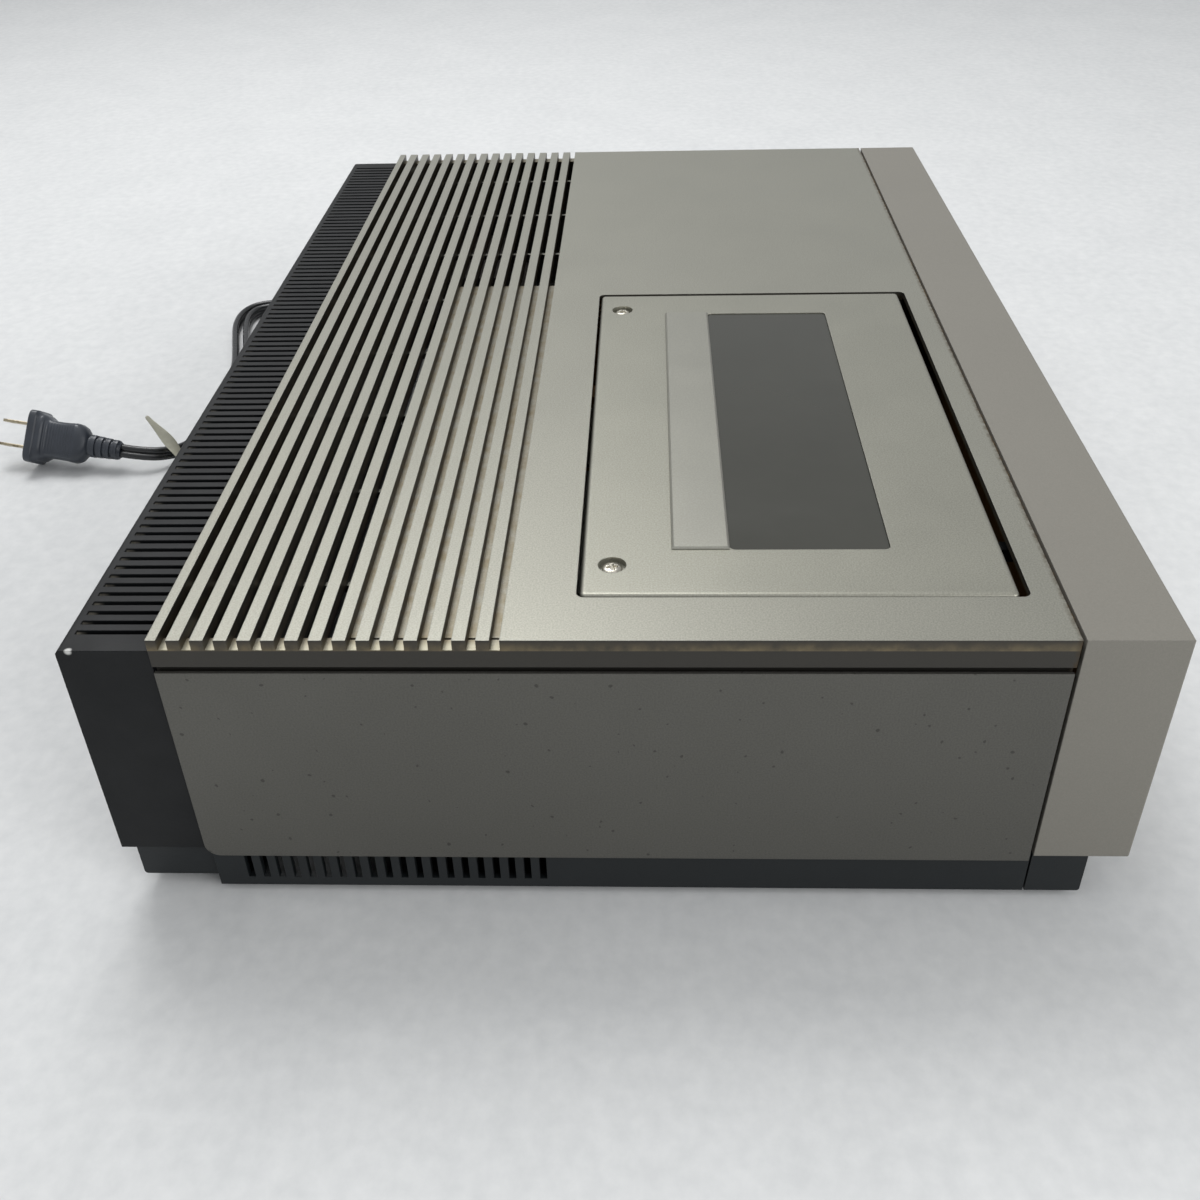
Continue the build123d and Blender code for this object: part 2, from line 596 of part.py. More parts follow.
def rear_cover():
    """The black hood behind the ribs: slotted top, closed back with the jack opening."""
    x1 = RIGHT - REAR_COVER_INSET
    y0 = REAR - REAR_COVER_DEPTH
    hood = block(-x1, x1, y0, REAR, REAR_COVER_BOTTOM, REAR_COVER_TOP)
    back_top = hood.edges().filter_by(Axis.X).group_by(Axis.Z)[-1].sort_by(Axis.Y)[-1]
    hood = fillet(back_top, 1.6)
    hood -= block(-x1 + WALL, x1 - WALL, y0 - 1, REAR - WALL, REAR_COVER_BOTTOM - 1, REAR_COVER_TOP - WALL)
    slots = []
    first = -REAR_SLOT_PITCH * (REAR_SLOT_COUNT - 1) / 2
    for number in range(REAR_SLOT_COUNT):
        x = first + number * REAR_SLOT_PITCH
        slots.append(block(x - REAR_SLOT_WIDTH / 2, x + REAR_SLOT_WIDTH / 2, y0 + REAR_SLOT_FRONT,
                           REAR - REAR_SLOT_REAR, REAR_COVER_TOP - WALL - 1, REAR_COVER_TOP + 1))
    hood -= slots
    # the opening for the jack panel, with a collar that carries it, and the cord's hole
    depth = JACK_RECESS + JACK_SHEET
    hood += block(JACK_X - JACK_WIDTH / 2 - 2, JACK_X + JACK_WIDTH / 2 + 2, REAR - depth, REAR - WALL,
                  JACK_Z - JACK_HEIGHT / 2 - 2, JACK_Z + JACK_HEIGHT / 2 + 2)
    hood -= block(JACK_X - JACK_WIDTH / 2, JACK_X + JACK_WIDTH / 2, REAR - depth - 1, REAR + 1,
                  JACK_Z - JACK_HEIGHT / 2, JACK_Z + JACK_HEIGHT / 2)
    hood -= rod_y(CORD_EXIT_X, REAR - WALL - 1, REAR + 1, CORD_EXIT_Z, RELIEF_RADIUS - 1)
    # rows of ventilation holes across the back
    holes = []
    for column in range(18):
        for row in range(2):
            x = -210 + column * 14
            z = 84 - row * 12
            holes.append(block(x, x + 10, REAR - WALL - 1, REAR + 1, z, z + 3))
    return hood - holes


def rear_base():
    """The lower rear piece, a channel set in under the rear cover."""
    x1 = RIGHT - REAR_BASE_INSET_X
    y0 = BASE_REAR + FIT_GAP
    y1 = REAR - REAR_BASE_INSET_Y
    top = REAR_COVER_BOTTOM + REAR_BASE_OVERLAP
    piece = block(-x1, x1, y0, y1, REAR_BASE_BOTTOM, top)
    piece -= block(-x1 + WALL, x1 - WALL, y0 - 1, y1 - WALL, REAR_BASE_BOTTOM + WALL, top + 1)
    return fillet(piece.edges().filter_by(Axis.X).group_by(Axis.Z)[0].sort_by(Axis.Y)[-1], 1.2)


def rubber_feet():
    """Four round feet with a slightly coned side."""
    edge = [(FOOT_RADIUS - 0.6, 0), (FOOT_RADIUS, 0.8), (FOOT_RADIUS, FOOT_HEIGHT)]
    profile = [(0, 0), *edge, (0, FOOT_HEIGHT)]
    face = make_face(Polyline(*[(r, 0, z) for r, z in profile], close=True))
    foot = revolve(face, Axis.Z)
    x = RIGHT - FOOT_INSET_X
    return group([Pos(sx * x, FRONT + y, 0) * foot for sx in (-1, 1) for y in (FOOT_FRONT, FOOT_REAR)])


def case_screws():
    """The screws that go up through the base into its corner posts."""
    solids = []
    for x, y in corner_posts():
        screw = post(x, y, BASE_BOTTOM, BASE_BOTTOM + CASE_SCREW_LENGTH, CASE_SCREW_SHANK)
        head = post(x, y, BASE_BOTTOM - 1.8, BASE_BOTTOM, CASE_SCREW_HEAD)
        head -= block(x - 2.2, x + 2.2, y - 0.45, y + 0.45, BASE_BOTTOM - 2, BASE_BOTTOM - 1)
        head -= block(x - 0.45, x + 0.45, y - 2.2, y + 2.2, BASE_BOTTOM - 2, BASE_BOTTOM - 1)
        solids.append(screw + head)
    return group(solids)


# ================================================================ front
def key_places():
    """Name, middle and size of every push button in the bezel."""
    names = ["rewind_button", "play_button", "fast_forward_button",
             "stop_button", "pause_button", "record_button"]
    keys = [(n, KEY_X0 + i * KEY_PITCH, KEY_Z, KEY_WIDTH, KEY_HEIGHT) for i, n in enumerate(names)]
    keys.append(("power_button", POWER_X, SMALL_KEY_Z, SMALL_KEY_WIDTH, SMALL_KEY_HEIGHT))
    keys.append(("eject_button", EJECT_X, SMALL_KEY_Z, SMALL_KEY_WIDTH, SMALL_KEY_HEIGHT))
    middle = (DISPLAY_Z0 + DISPLAY_Z1) / 2
    for name, side in (("channel_up_button", 1), ("channel_down_button", -1)):
        z = middle + side * CHANNEL_SPACING / 2
        keys.append((name, CHANNEL_X, z, CHANNEL_WIDTH, SMALL_KEY_HEIGHT))
    return keys


def recess_of(name):
    """How far a button's surround lies behind the bezel's face."""
    flush = ("power_button", "eject_button", "channel_up_button", "channel_down_button")
    return 0.0 if name in flush else KEY_RECESS


def board_posts():
    """Places of the posts that carry the control board, as (x, z)."""
    return [(x, z) for x in (LEFT + 10, 38.0, RIGHT - 10) for z in (BOARD_Z0 + 5, BOARD_Z1 - 5)]


def front_bezel():
    """The silver front: a deep channel with closed ends and openings for all the controls."""
    shell = block(LEFT, RIGHT, FRONT, BEZEL_REAR, BEZEL_BOTTOM, HEIGHT)
    front_edges = shell.edges().filter_by(Axis.X).group_by(Axis.Y)[0]
    end_edges = shell.edges().filter_by(Axis.Z).group_by(Axis.Y)[0]
    shell = fillet(front_edges + end_edges, EDGE_ROUND)
    shell -= block(LEFT + WALL, RIGHT - WALL, INNER_FACE, BEZEL_REAR + 1, BEZEL_BOTTOM + WALL, HEIGHT - WALL)
    # the sunken strip round the transport keys
    shell += block(KEY_RECESS_X0 - 2, KEY_RECESS_X1 + 2, INNER_FACE, INNER_FACE + KEY_RECESS,
                   KEY_RECESS_Z0 - 2, KEY_RECESS_Z1 + 2)
    shell -= front_plate((KEY_RECESS_X0 + KEY_RECESS_X1) / 2, KEY_Z, KEY_RECESS_X1 - KEY_RECESS_X0,
                         KEY_RECESS_Z1 - KEY_RECESS_Z0, FRONT - 1, FRONT + KEY_RECESS, 2.0)
    # the control door's opening and the holes for its pins
    shell -= block(DOOR_X0, DOOR_X1, FRONT - 1, INNER_FACE + 1, DOOR_Z0, DOOR_Z1)
    for x in (DOOR_X0 - DOOR_PIN_LENGTH - 0.3, DOOR_X1):
        shell -= rod_x(x, x + DOOR_PIN_LENGTH + 0.3, door_axis()[0], door_axis()[1],
                       DOOR_PIN_RADIUS + SHAFT_CLEARANCE)
    # the display opening, rebated for its window
    middle_x = (DISPLAY_X0 + DISPLAY_X1) / 2
    middle_z = (DISPLAY_Z0 + DISPLAY_Z1) / 2
    width = DISPLAY_X1 - DISPLAY_X0
    height = DISPLAY_Z1 - DISPLAY_Z0
    shell -= front_plate(middle_x, middle_z, width, height,
                         FRONT - 1, FRONT + DISPLAY_SINK + DISPLAY_THICK, 2.0)
    shell -= front_plate(middle_x, middle_z, width - 5, height - 5, FRONT, INNER_FACE + 1, 1.0)
    # the button openings
    for name, x, z, key_width, key_height in key_places():
        shell -= front_plate(x, z, key_width + 2 * KEY_GAP, key_height + 2 * KEY_GAP,
                             FRONT - 1, INNER_FACE + KEY_RECESS + 1, 1.0)
    # posts for the control board, and tabs that slip under the top cover
    for x, z in board_posts():
        shell += rod_y(x, INNER_FACE, BOARD_Y, z, 3.0)
    top = HEIGHT - WALL - FIT_GAP
    for x in BEZEL_TABS:
        x0, x1 = x - BEZEL_TAB_HALF, x + BEZEL_TAB_HALF
        shell += block(x0, x1, BEZEL_REAR - 6, COVER_FRONT + WALL + BEZEL_TAB_REACH,
                       top - BEZEL_TAB_THICK, top)
        shell += block(x0, x1, BEZEL_REAR - 6, BEZEL_REAR, top, HEIGHT - WALL)
    return shell


def control_tray():
    """The shallow tray behind the control door, with the holes for the knob and the switch."""
    y1 = door_back() + POCKET_DEPTH
    tray = block(DOOR_X0 - POCKET_WALL, DOOR_X1 + POCKET_WALL, INNER_FACE, y1 + POCKET_WALL,
                 DOOR_Z0 - POCKET_WALL, DOOR_Z1 + POCKET_WALL)
    tray -= block(DOOR_X0 + POCKET_LEDGE, DOOR_X1 - POCKET_LEDGE, INNER_FACE - 1, y1,
                  DOOR_Z0 + POCKET_LEDGE, DOOR_Z1 - POCKET_LEDGE)
    # the rim steps back behind the shut door
    tray -= block(DOOR_X0, DOOR_X1, INNER_FACE - 1, door_back() + FIT_GAP, DOOR_Z0, DOOR_Z1)
    knob_z = (DOOR_Z0 + DOOR_Z1) / 2
    tray -= rod_y(KNOB_X, y1 - 1, y1 + POCKET_WALL + 1, knob_z, KNOB_SHAFT + 0.08)
    return tray - block(SWITCH_X - SWITCH_TRAVEL - SWITCH_LEVER / 2 - FIT_GAP,
                        SWITCH_X + SWITCH_TRAVEL + SWITCH_LEVER / 2 + FIT_GAP,
                        y1 - 1, y1 + POCKET_WALL + 1,
                        knob_z - SWITCH_LEVER / 2 - FIT_GAP, knob_z + SWITCH_LEVER / 2 + FIT_GAP)


def door_axis():
    """The control door's hinge axis, as (y, z)."""
    return FRONT + DISPLAY_SINK + DOOR_THICK / 2, DOOR_Z0 + DOOR_THICK / 2 + FIT_GAP


def door_back():
    """The back face of the closed door."""
    return FRONT + DISPLAY_SINK + DOOR_THICK


def control_door():
    """A flat door with a round lower edge and a moulded pin at each lower corner."""
    y, z = door_axis()
    x0 = DOOR_X0 + KEY_GAP
    x1 = DOOR_X1 - KEY_GAP
    door = block(x0, x1, y - DOOR_THICK / 2, y + DOOR_THICK / 2, z, DOOR_Z1 - KEY_GAP)
    door += rod_x(x0, x1, y, z, DOOR_THICK / 2)
    for start in (x0 - DOOR_PIN_LENGTH, x1):
        door += rod_x(start, start + DOOR_PIN_LENGTH, y, z, DOOR_PIN_RADIUS)
    # finger notch in the upper edge
    middle = (DOOR_X0 + DOOR_X1) / 2
    door -= block(middle - 12, middle + 12, y - DOOR_THICK, y - DOOR_THICK / 2 + 1.0,
                  DOOR_Z1 - KEY_GAP - 2.2, DOOR_Z1)
    return door


def push_button(name, x, z, width, height):
    """A key cap with a softened front, an inner lip that keeps it in and a stem to its switch."""
    recess = recess_of(name)
    wall_back = INNER_FACE + recess
    cap = front_plate(x, z, width, height, FRONT + 0.2, wall_back + FIT_GAP, 0.8)
    cap = fillet(cap.faces().sort_by(Axis.Y)[0].edges(), 0.6)
    lip = front_plate(x, z, width + 2 * KEY_LIP, height + 2 * KEY_LIP, wall_back + FIT_GAP,
                      wall_back + FIT_GAP + 1.2, 0.8)
    stem_end = LATCH_ARM_Y if name == "eject_button" else BOARD_Y - SWITCH_REACH
    stem = block(x - KEY_STEM / 2, x + KEY_STEM / 2, wall_back + FIT_GAP, stem_end,
                 z - KEY_STEM / 2, z + KEY_STEM / 2)
    return cap + lip + stem


def display_window():
    """The smoked window over the display, seated in the bezel's rebate."""
    return front_plate((DISPLAY_X0 + DISPLAY_X1) / 2, (DISPLAY_Z0 + DISPLAY_Z1) / 2,
                       DISPLAY_X1 - DISPLAY_X0 - 0.4, DISPLAY_Z1 - DISPLAY_Z0 - 0.4,
                       FRONT + DISPLAY_SINK, FRONT + DISPLAY_SINK + DISPLAY_THICK, 1.8)


def tracking_knob():
    """A fluted knob on its shaft, behind the control door."""
    z = (DOOR_Z0 + DOOR_Z1) / 2
    pocket_y1 = door_back() + POCKET_DEPTH
    knob = rod_y(KNOB_X, pocket_y1 - KNOB_HEIGHT - FIT_GAP, pocket_y1 - FIT_GAP, z, KNOB_RADIUS)
    knob = chamfer(knob.faces().sort_by(Axis.Y)[0].edges(), 0.6)
    flutes = []
    for number in range(12):
        x, dz = on_circle((KNOB_X, z), KNOB_RADIUS + 0.3, number * 30)
        flutes.append(rod_y(x, pocket_y1 - KNOB_HEIGHT - 1, pocket_y1 - 1.2, dz, 0.9))
    knob -= flutes
    knob -= block(KNOB_X - 0.5, KNOB_X + 0.5, pocket_y1 - KNOB_HEIGHT - 1, pocket_y1 - KNOB_HEIGHT + 0.5,
                  z, z + KNOB_RADIUS)
    return knob + rod_y(KNOB_X, pocket_y1 - FIT_GAP, BOARD_Y - SWITCH_BODY - FIT_GAP, z, KNOB_SHAFT)


def speed_switch():
    """The slide switch's lever, with a wide foot behind the pocket's floor."""
    z = (DOOR_Z0 + DOOR_Z1) / 2
    pocket_y1 = door_back() + POCKET_DEPTH
    half = SWITCH_LEVER / 2
    back = pocket_y1 + POCKET_WALL + FIT_GAP
    lever = block(SWITCH_X - half, SWITCH_X + half, pocket_y1 - 4, back, z - half, z + half)
    lever += block(SWITCH_X - 3 * half, SWITCH_X + 3 * half, back, back + 1.2, z - 2 * half, z + 2 * half)
    return lever


def display_board():
    """The control board: sheet, key switches, potentiometer, slide switch body and display tube."""
    board = block(LEFT + 6, RIGHT - 6, BOARD_Y, BOARD_Y + BOARD_THICK, BOARD_Z0, BOARD_Z1)
    solids = []
    for name, x, z, width, height in key_places():
        if name == "eject_button":
            half = KEY_STEM / 2 + 1
            board -= block(x - half, x + half, BOARD_Y - 1, BOARD_Y + BOARD_THICK + 1, z - half, z + half)
        else:
            solids.append(block(x - 3, x + 3, BOARD_Y - SWITCH_BODY, BOARD_Y, z - 3, z + 3))
    z = (DOOR_Z0 + DOOR_Z1) / 2
    solids.append(rod_y(KNOB_X, BOARD_Y - SWITCH_BODY, BOARD_Y, z, 6.0))
    foot_back = door_back() + POCKET_DEPTH + POCKET_WALL + 2 * FIT_GAP + 1.2
    solids.append(block(SWITCH_X - 11, SWITCH_X + 11, foot_back, BOARD_Y, z - 4, z + 4))
    tube_z = (DISPLAY_Z0 + DISPLAY_Z1) / 2
    solids.append(block(DISPLAY_X0 + 10, DISPLAY_X1 - 10, BOARD_Y - 9, BOARD_Y, tube_z - 10, tube_z + 10))
    return group([board] + solids)


# ================================================================ cassette lid and holder
def lid_screw_places():
    """Places of the two lid screws, as (x, y)."""
    return [(CASSETTE_X + side * LID_SCREW_OFFSET, LID_Y1 - LID_SCREW_INSET) for side in (-1, 1)]


def cassette_lid():
    """The lid: a plate with a short skirt, the rebated window opening, screw recesses and pads."""
    lid = plate(LID_X0, LID_X1, LID_Y0, LID_Y1, LID_BOTTOM, HEIGHT, 2.0)
    lid = fillet(lid.edges().filter_by(Axis.X).group_by(Axis.Z)[-1].sort_by(Axis.Y)[-1:], LID_ROUND)
    skirt = plate(LID_X0, LID_X1, LID_Y0, HINGE_Y - 16, LID_BOTTOM - 2.5, LID_BOTTOM, 2.0)
    skirt -= block(LID_X0 + 1.5, LID_X1 - 1.5, LID_Y0 + 1.5, HINGE_Y, LID_BOTTOM - 3, LID_BOTTOM + 1)
    lid += skirt
    lid -= plate(WINDOW_X0, WINDOW_X1, WINDOW_Y0, WINDOW_Y1,
                 HEIGHT - WINDOW_SINK - WINDOW_THICK, HEIGHT + 1, 2.0)
    lid -= block(WINDOW_X0 + WINDOW_LEDGE, WINDOW_X1 - WINDOW_LEDGE, WINDOW_Y0 + WINDOW_LEDGE,
                 WINDOW_Y1 - WINDOW_LEDGE, LID_BOTTOM - 1, HEIGHT)
    lid -= block(WINDOW_X0, WINDOW_X1, WINDOW_Y1, WINDOW_Y1 + STRIP_DEPTH,
                 HEIGHT + STRIP_RISE - STRIP_THICK, HEIGHT + 1)
    for x, y in lid_screw_places():
        lid -= post(x, y, HEIGHT - LID_RECESS_DEPTH, HEIGHT + 1, LID_RECESS_RADIUS)
        lid -= post(x, y, LID_BOTTOM - 1, HEIGHT, LID_SCREW_SHANK)
    for side in (-1, 1):
        x = CASSETTE_X + side * (HOLDER_X - 6)
        lid += post(x, LID_Y0 + 12, HOLDER_TOP + HOLDER_SHEET, LID_BOTTOM, 4.0)
    return lid


def lid_trim_strip():
    """The raised strip behind the window, chamfered along its edges."""
    z0 = HEIGHT + STRIP_RISE - STRIP_THICK
    strip = block(WINDOW_X0, WINDOW_X1, WINDOW_Y1, WINDOW_Y1 + STRIP_DEPTH, z0, HEIGHT + STRIP_RISE)
    return chamfer(strip.faces().sort_by(Axis.Z)[-1].edges(), 0.7)


def lid_window():
    """The smoked window, seated on the ledge of the lid's opening."""
    return plate(WINDOW_X0 + 0.2, WINDOW_X1 - 0.2, WINDOW_Y0 + 0.2, WINDOW_Y1 - 0.1,
                 HEIGHT - WINDOW_SINK - WINDOW_THICK, HEIGHT - WINDOW_SINK, 1.8)


def lid_screws():
    """Two pan-head screws that hold the lid to the holder's flanges."""
    solids = []
    base = HEIGHT - LID_RECESS_DEPTH
    for x, y in lid_screw_places():
        head = post(x, y, base, base + 1.7, LID_SCREW_HEAD)
        head = fillet(head.faces().sort_by(Axis.Z)[-1].edges(), 0.7)
        head -= block(x - 1.9, x + 1.9, y - 0.4, y + 0.4, base + 0.7, base + 2)
        head -= block(x - 0.4, x + 0.4, y - 1.9, y + 1.9, base + 0.7, base + 2)
        solids.append(head + post(x, y, LID_BOTTOM - HOLDER_SHEET - 2, base, LID_SCREW_SHANK))
    return group(solids)


def cassette_holder():
    """Sheet-metal carrier: top sheet with a window, side walls, ledges, hinge ears and screw flanges."""
    outer = HOLDER_X + HOLDER_SHEET
    base = CASSETTE_BASE - HOLDER_SHEET
    top = HOLDER_TOP + HOLDER_SHEET
    half = [
        (outer, base),
        (outer, top),
        (-outer, top),
        (-outer, base),
        (HOLDER_LEDGE - HOLDER_X, base),
        (HOLDER_LEDGE - HOLDER_X, CASSETTE_BASE),
        (-HOLDER_X, CASSETTE_BASE),
        (-HOLDER_X, HOLDER_TOP),
        (HOLDER_X, HOLDER_TOP),
        (HOLDER_X, CASSETTE_BASE),
        (HOLDER_X - HOLDER_LEDGE, CASSETTE_BASE),
        (HOLDER_X - HOLDER_LEDGE, base),
    ]
    holder = bar_y([(CASSETTE_X + x, z) for x, z in half], HOLDER_Y0, HOLDER_Y1)
    # the opening under the lid's window, and the cut-back mouth
    holder -= plate(WINDOW_X0 + 4, WINDOW_X1 - 4, WINDOW_Y0 - 6, WINDOW_Y1 + 2, HOLDER_TOP - 1, top + 1, 6.0)
    holder -= plate(CASSETTE_X - MOUTH_HALF, CASSETTE_X + MOUTH_HALF,
                    HOLDER_Y0 - 10, HOLDER_Y0 + MOUTH_DEPTH, HOLDER_TOP - 1, top + 1, 5.0)
    for side in (-1, 1):
        x0 = CASSETTE_X + side * HOLDER_X
        x1 = CASSETTE_X + side * outer
        low, high = min(x0, x1), max(x0, x1)
        arm = [
            (HOLDER_Y1 - 26, HOLDER_TOP),
            (HOLDER_Y1, HOLDER_TOP - 14),
            (HINGE_Y + EAR_RADIUS * 0.8, HINGE_Z - EAR_RADIUS * 0.6),
            (HINGE_Y, HINGE_Z + EAR_RADIUS),
            (HINGE_Y - 16, LID_BOTTOM - 0.1),
            (HOLDER_Y1 - 26, top),
        ]
        holder += bar_x(arm, low, high)
        holder += rod_x(low, high, HINGE_Y, HINGE_Z, EAR_RADIUS)
        holder -= rod_x(low - 1, high + 1, HINGE_Y, HINGE_Z, HINGE_PIN_RADIUS + SHAFT_CLEARANCE)
        # flange for the lid screw
        screw_x, screw_y = lid_screw_places()[0 if side < 0 else 1]
        reach = screw_x + side * 4
        holder += block(min(x1, reach), max(x1, reach), screw_y - 4.5, screw_y + 2.0,
                        LID_BOTTOM - HOLDER_SHEET, LID_BOTTOM)
        holder -= post(screw_x, screw_y, LID_BOTTOM - 5, LID_BOTTOM + 1, LID_SCREW_SHANK)
        # rear stop, bent up from the ledge
        stop0 = CASSETTE_X + side * (HOLDER_X - HOLDER_LEDGE)
        stop1 = CASSETTE_X + side * outer
        holder += block(min(stop0, stop1), max(stop0, stop1), HOLDER_Y1, HOLDER_Y1 + HOLDER_SHEET,
                        base, CASSETTE_BASE + 9)
    # the tongue at the front that the latch takes hold of
    holder += block(EJECT_X - 5, EJECT_X + 5, HOLDER_Y0 - LATCH_TONGUE, HOLDER_Y0, base, CASSETTE_BASE)
    holder += block(CASSETTE_X - HOLDER_X, EJECT_X + 5, HOLDER_Y0, HOLDER_Y0 + 5, base, CASSETTE_BASE)
    return holder


def bracket_edges(side):
    """Inner and outer face of a hinge bracket, beside the holder's arm."""
    inner = CASSETTE_X + side * (HOLDER_X + HOLDER_SHEET + BRACKET_GAP)
    return inner, inner + side * BRACKET_SHEET


def hinge_brackets():
    """Two upright brackets on the deck, each with the pin of the lid hinge riveted in it."""
    solids = []
    for side in (-1, 1):
        inner, outer = bracket_edges(side)
        low, high = min(inner, outer), max(inner, outer)
        upright = [
            (HINGE_Y - 9, DECK_TOP),
            (HINGE_Y + 9, DECK_TOP),
            (HINGE_Y + EAR_RADIUS * 0.9, HINGE_Z),
            (HINGE_Y - EAR_RADIUS * 0.9, HINGE_Z),
        ]
        bracket = bar_x(upright, low, high) + rod_x(low, high, HINGE_Y, HINGE_Z, EAR_RADIUS * 0.9)
        foot = outer + side * BRACKET_FOOT
        bracket += block(min(outer, foot), max(outer, foot), HINGE_Y - 9, HINGE_Y + 9,
                         DECK_TOP, DECK_TOP + BRACKET_SHEET)
        start = CASSETTE_X + side * (HOLDER_X - 0.8)
        end = outer + side * (SPRING_LENGTH + 1.2)
        bracket += rod_x(min(start, end), max(start, end), HINGE_Y, HINGE_Z, HINGE_PIN_RADIUS)
        solids.append(bracket)
    return group(solids)


def biarc_path(points, tangents):
    """Arcs through the points, two for each step, that run smoothly along the given directions."""
    edges = []
    for start, end, first, last in zip(points[:-1], points[1:], tangents[:-1], tangents[1:]):
        a, b = Vector(*start), Vector(*end)
        ta, tb = Vector(*first).normalized(), Vector(*last).normalized()
        v = b - a
        t = ta + tb
        bend = 2 * (1 - ta.dot(tb))
        if bend < 1e-9:
            edges.append(Line(a, b))
            continue
        reach = (-v.dot(t) + sqrt(v.dot(t) ** 2 + bend * v.dot(v))) / bend
        middle = (a + b + (ta - tb) * reach) * 0.5
        direction = (b - tb * reach) - (a + ta * reach)
        edges.append(TangentArc(a, middle, tangent=ta))
        edges.append(TangentArc(middle, b, tangent=direction.normalized()))
    return Wire([e.edge() for e in edges])


def tube(path, radius):
    """A round tube along a path."""
    return sweep(Plane(path @ 0, z_dir=path % 0) * Circle(radius), path=path)


def lid_springs():
    """A torsion spring round the outer end of each hinge pin."""
    solids = []
    for side in (-1, 1):
        outer = bracket_edges(side)[1] + side * (SPRING_WIRE + 0.2)
        step = side * (SPRING_LENGTH - 2 * SPRING_WIRE) / (SPRING_TURNS * 4)
        points = []
        tangents = []
        for quarter in range(SPRING_TURNS * 4 + 1):
            angle = quarter * 90
            y, z = on_circle((HINGE_Y, HINGE_Z), SPRING_RADIUS, angle)
            points.append((outer + step * quarter, y, z))
            along = step / (SPRING_RADIUS * pi / 2)
            tangents.append((along, -sin(radians(angle)), cos(radians(angle))))
        solids.append(tube(biarc_path(points, tangents), SPRING_WIRE))
    return group(solids)


def lid_latch():
    """The catch at the holder's mouth: a hanging hook over the tongue, and an arm for the eject stem."""
    x0, x1 = EJECT_X - LATCH_THICK / 2, EJECT_X + LATCH_THICK / 2
    hook = CASSETTE_BASE + FIT_GAP
    lever = [
        (LATCH_Y - LATCH_HALF, SMALL_KEY_Z + KEY_STEM / 2),
        (LATCH_Y - LATCH_HALF, LATCH_Z),
        (LATCH_Y - 1.5, hook),
        (LATCH_NOSE, hook),
        (LATCH_NOSE - 1.7, hook + 3.5),
        (LATCH_Y + 1.2, hook + 4.5),
        (LATCH_Y + LATCH_HALF, LATCH_Z),
        (LATCH_Y - 0.4, SMALL_KEY_Z + KEY_STEM / 2),
    ]
    latch = bar_x(lever, x0, x1)
    latch += rod_x(x0, x1, LATCH_Y, LATCH_Z, LATCH_HUB)
    return latch - rod_x(x0 - 1, x1 + 1, LATCH_Y, LATCH_Z, LATCH_PIN_RADIUS + SHAFT_CLEARANCE)


# ================================================================ tape deck
def load_pivot(side):
    """The pivot of a loading arm, under the drum."""
    return CASSETTE_X + side * LOAD_PIVOT_OFFSET, LOAD_PIVOT_Y


def arc_slot(centre, radius, start, end, half_width):
    """An arc-shaped slot through the deck plate."""
    z0 = DECK_TOP - DECK_SHEET - 1
    height = DECK_SHEET + 2
    ring = post(*centre, z0, z0 + height, radius + half_width)
    ring -= post(*centre, z0 - 1, z0 + height + 1, radius - half_width)
    corners = [centre]
    steps = 4
    for number in range(steps + 1):
        corners.append(on_circle(centre, (radius + half_width) * 1.6, start + (end - start) * number / steps))
    wedge = extrude(make_face(Polyline(*[(x, y, z0) for x, y in corners], close=True)), amount=height)
    slot = ring & wedge
    for angle in (start, end):
        slot += post(*on_circle(centre, radius, angle), z0, z0 + height, half_width)
    return slot


def deck_plate():
    """The stamped deck plate with its slots, holes, front ears and folded edges."""
    z0 = DECK_TOP - DECK_SHEET
    deck = plate(DECK_X0, DECK_X1, DECK_Y0, DECK_Y1, z0, DECK_TOP, 6.0)
    # folded-down edges
    deck += block(DECK_X0 + 8, DECK_X1 - 8, DECK_Y0, DECK_Y0 + DECK_SHEET, z0 - 7, z0)
    deck += block(DECK_X0 + 8, DECK_X1 - 8, DECK_Y1 - DECK_SHEET, DECK_Y1, z0 - 7, z0)
    # arc slots for the guide posts
    for side in (-1, 1):
        pivot = load_pivot(side)
        start = LOAD_REST_ANGLE if side > 0 else 180 - LOAD_REST_ANGLE
        deck -= arc_slot(pivot, LOAD_ARM_LENGTH, start, start + side * LOAD_SWEEP, GUIDE_RADIUS - 1.5 + 0.6)
        deck -= post(*pivot, z0 - 1, DECK_TOP + 1, 2.0)
    # shaft holes and lightening holes
    deck -= post(CAPSTAN_X, CAPSTAN_Y, z0 - 1, DECK_TOP + 1, CAPSTAN_RADIUS + 3)
    for x, y in reel_places():
        deck -= post(x, y, z0 - 1, DECK_TOP + 1, REEL_POST_RADIUS)
    for x, y in (PINCH_PIVOT, TENSION_PIVOT):
        deck -= post(x, y, z0 - 1, DECK_TOP + 1, PIVOT_POST_RADIUS)
    deck -= plate(CASSETTE_X - 22, CASSETTE_X + 22, REEL_Y - 34, REEL_Y - 6, z0 - 1, DECK_TOP + 1, 5.0)
    # the ears that hold the latch's pin
    for side in (-1, 1):
        x = EJECT_X + side * (LATCH_THICK / 2 + FIT_GAP + 1.2)
        ear = block(x - 1.2, x + 1.2, LATCH_Y - LATCH_HUB, LATCH_Y + LATCH_HUB, z0, LATCH_Z)
        ear += rod_x(x - 1.2, x + 1.2, LATCH_Y, LATCH_Z, LATCH_HUB)
        deck += ear - rod_x(x - 2, x + 2, LATCH_Y, LATCH_Z, LATCH_PIN_RADIUS)
    return deck


def reel_places():
    """Middles of the supply and take-up reels."""
    return [(CASSETTE_X - REEL_SPACING / 2, REEL_Y), (CASSETTE_X + REEL_SPACING / 2, REEL_Y)]


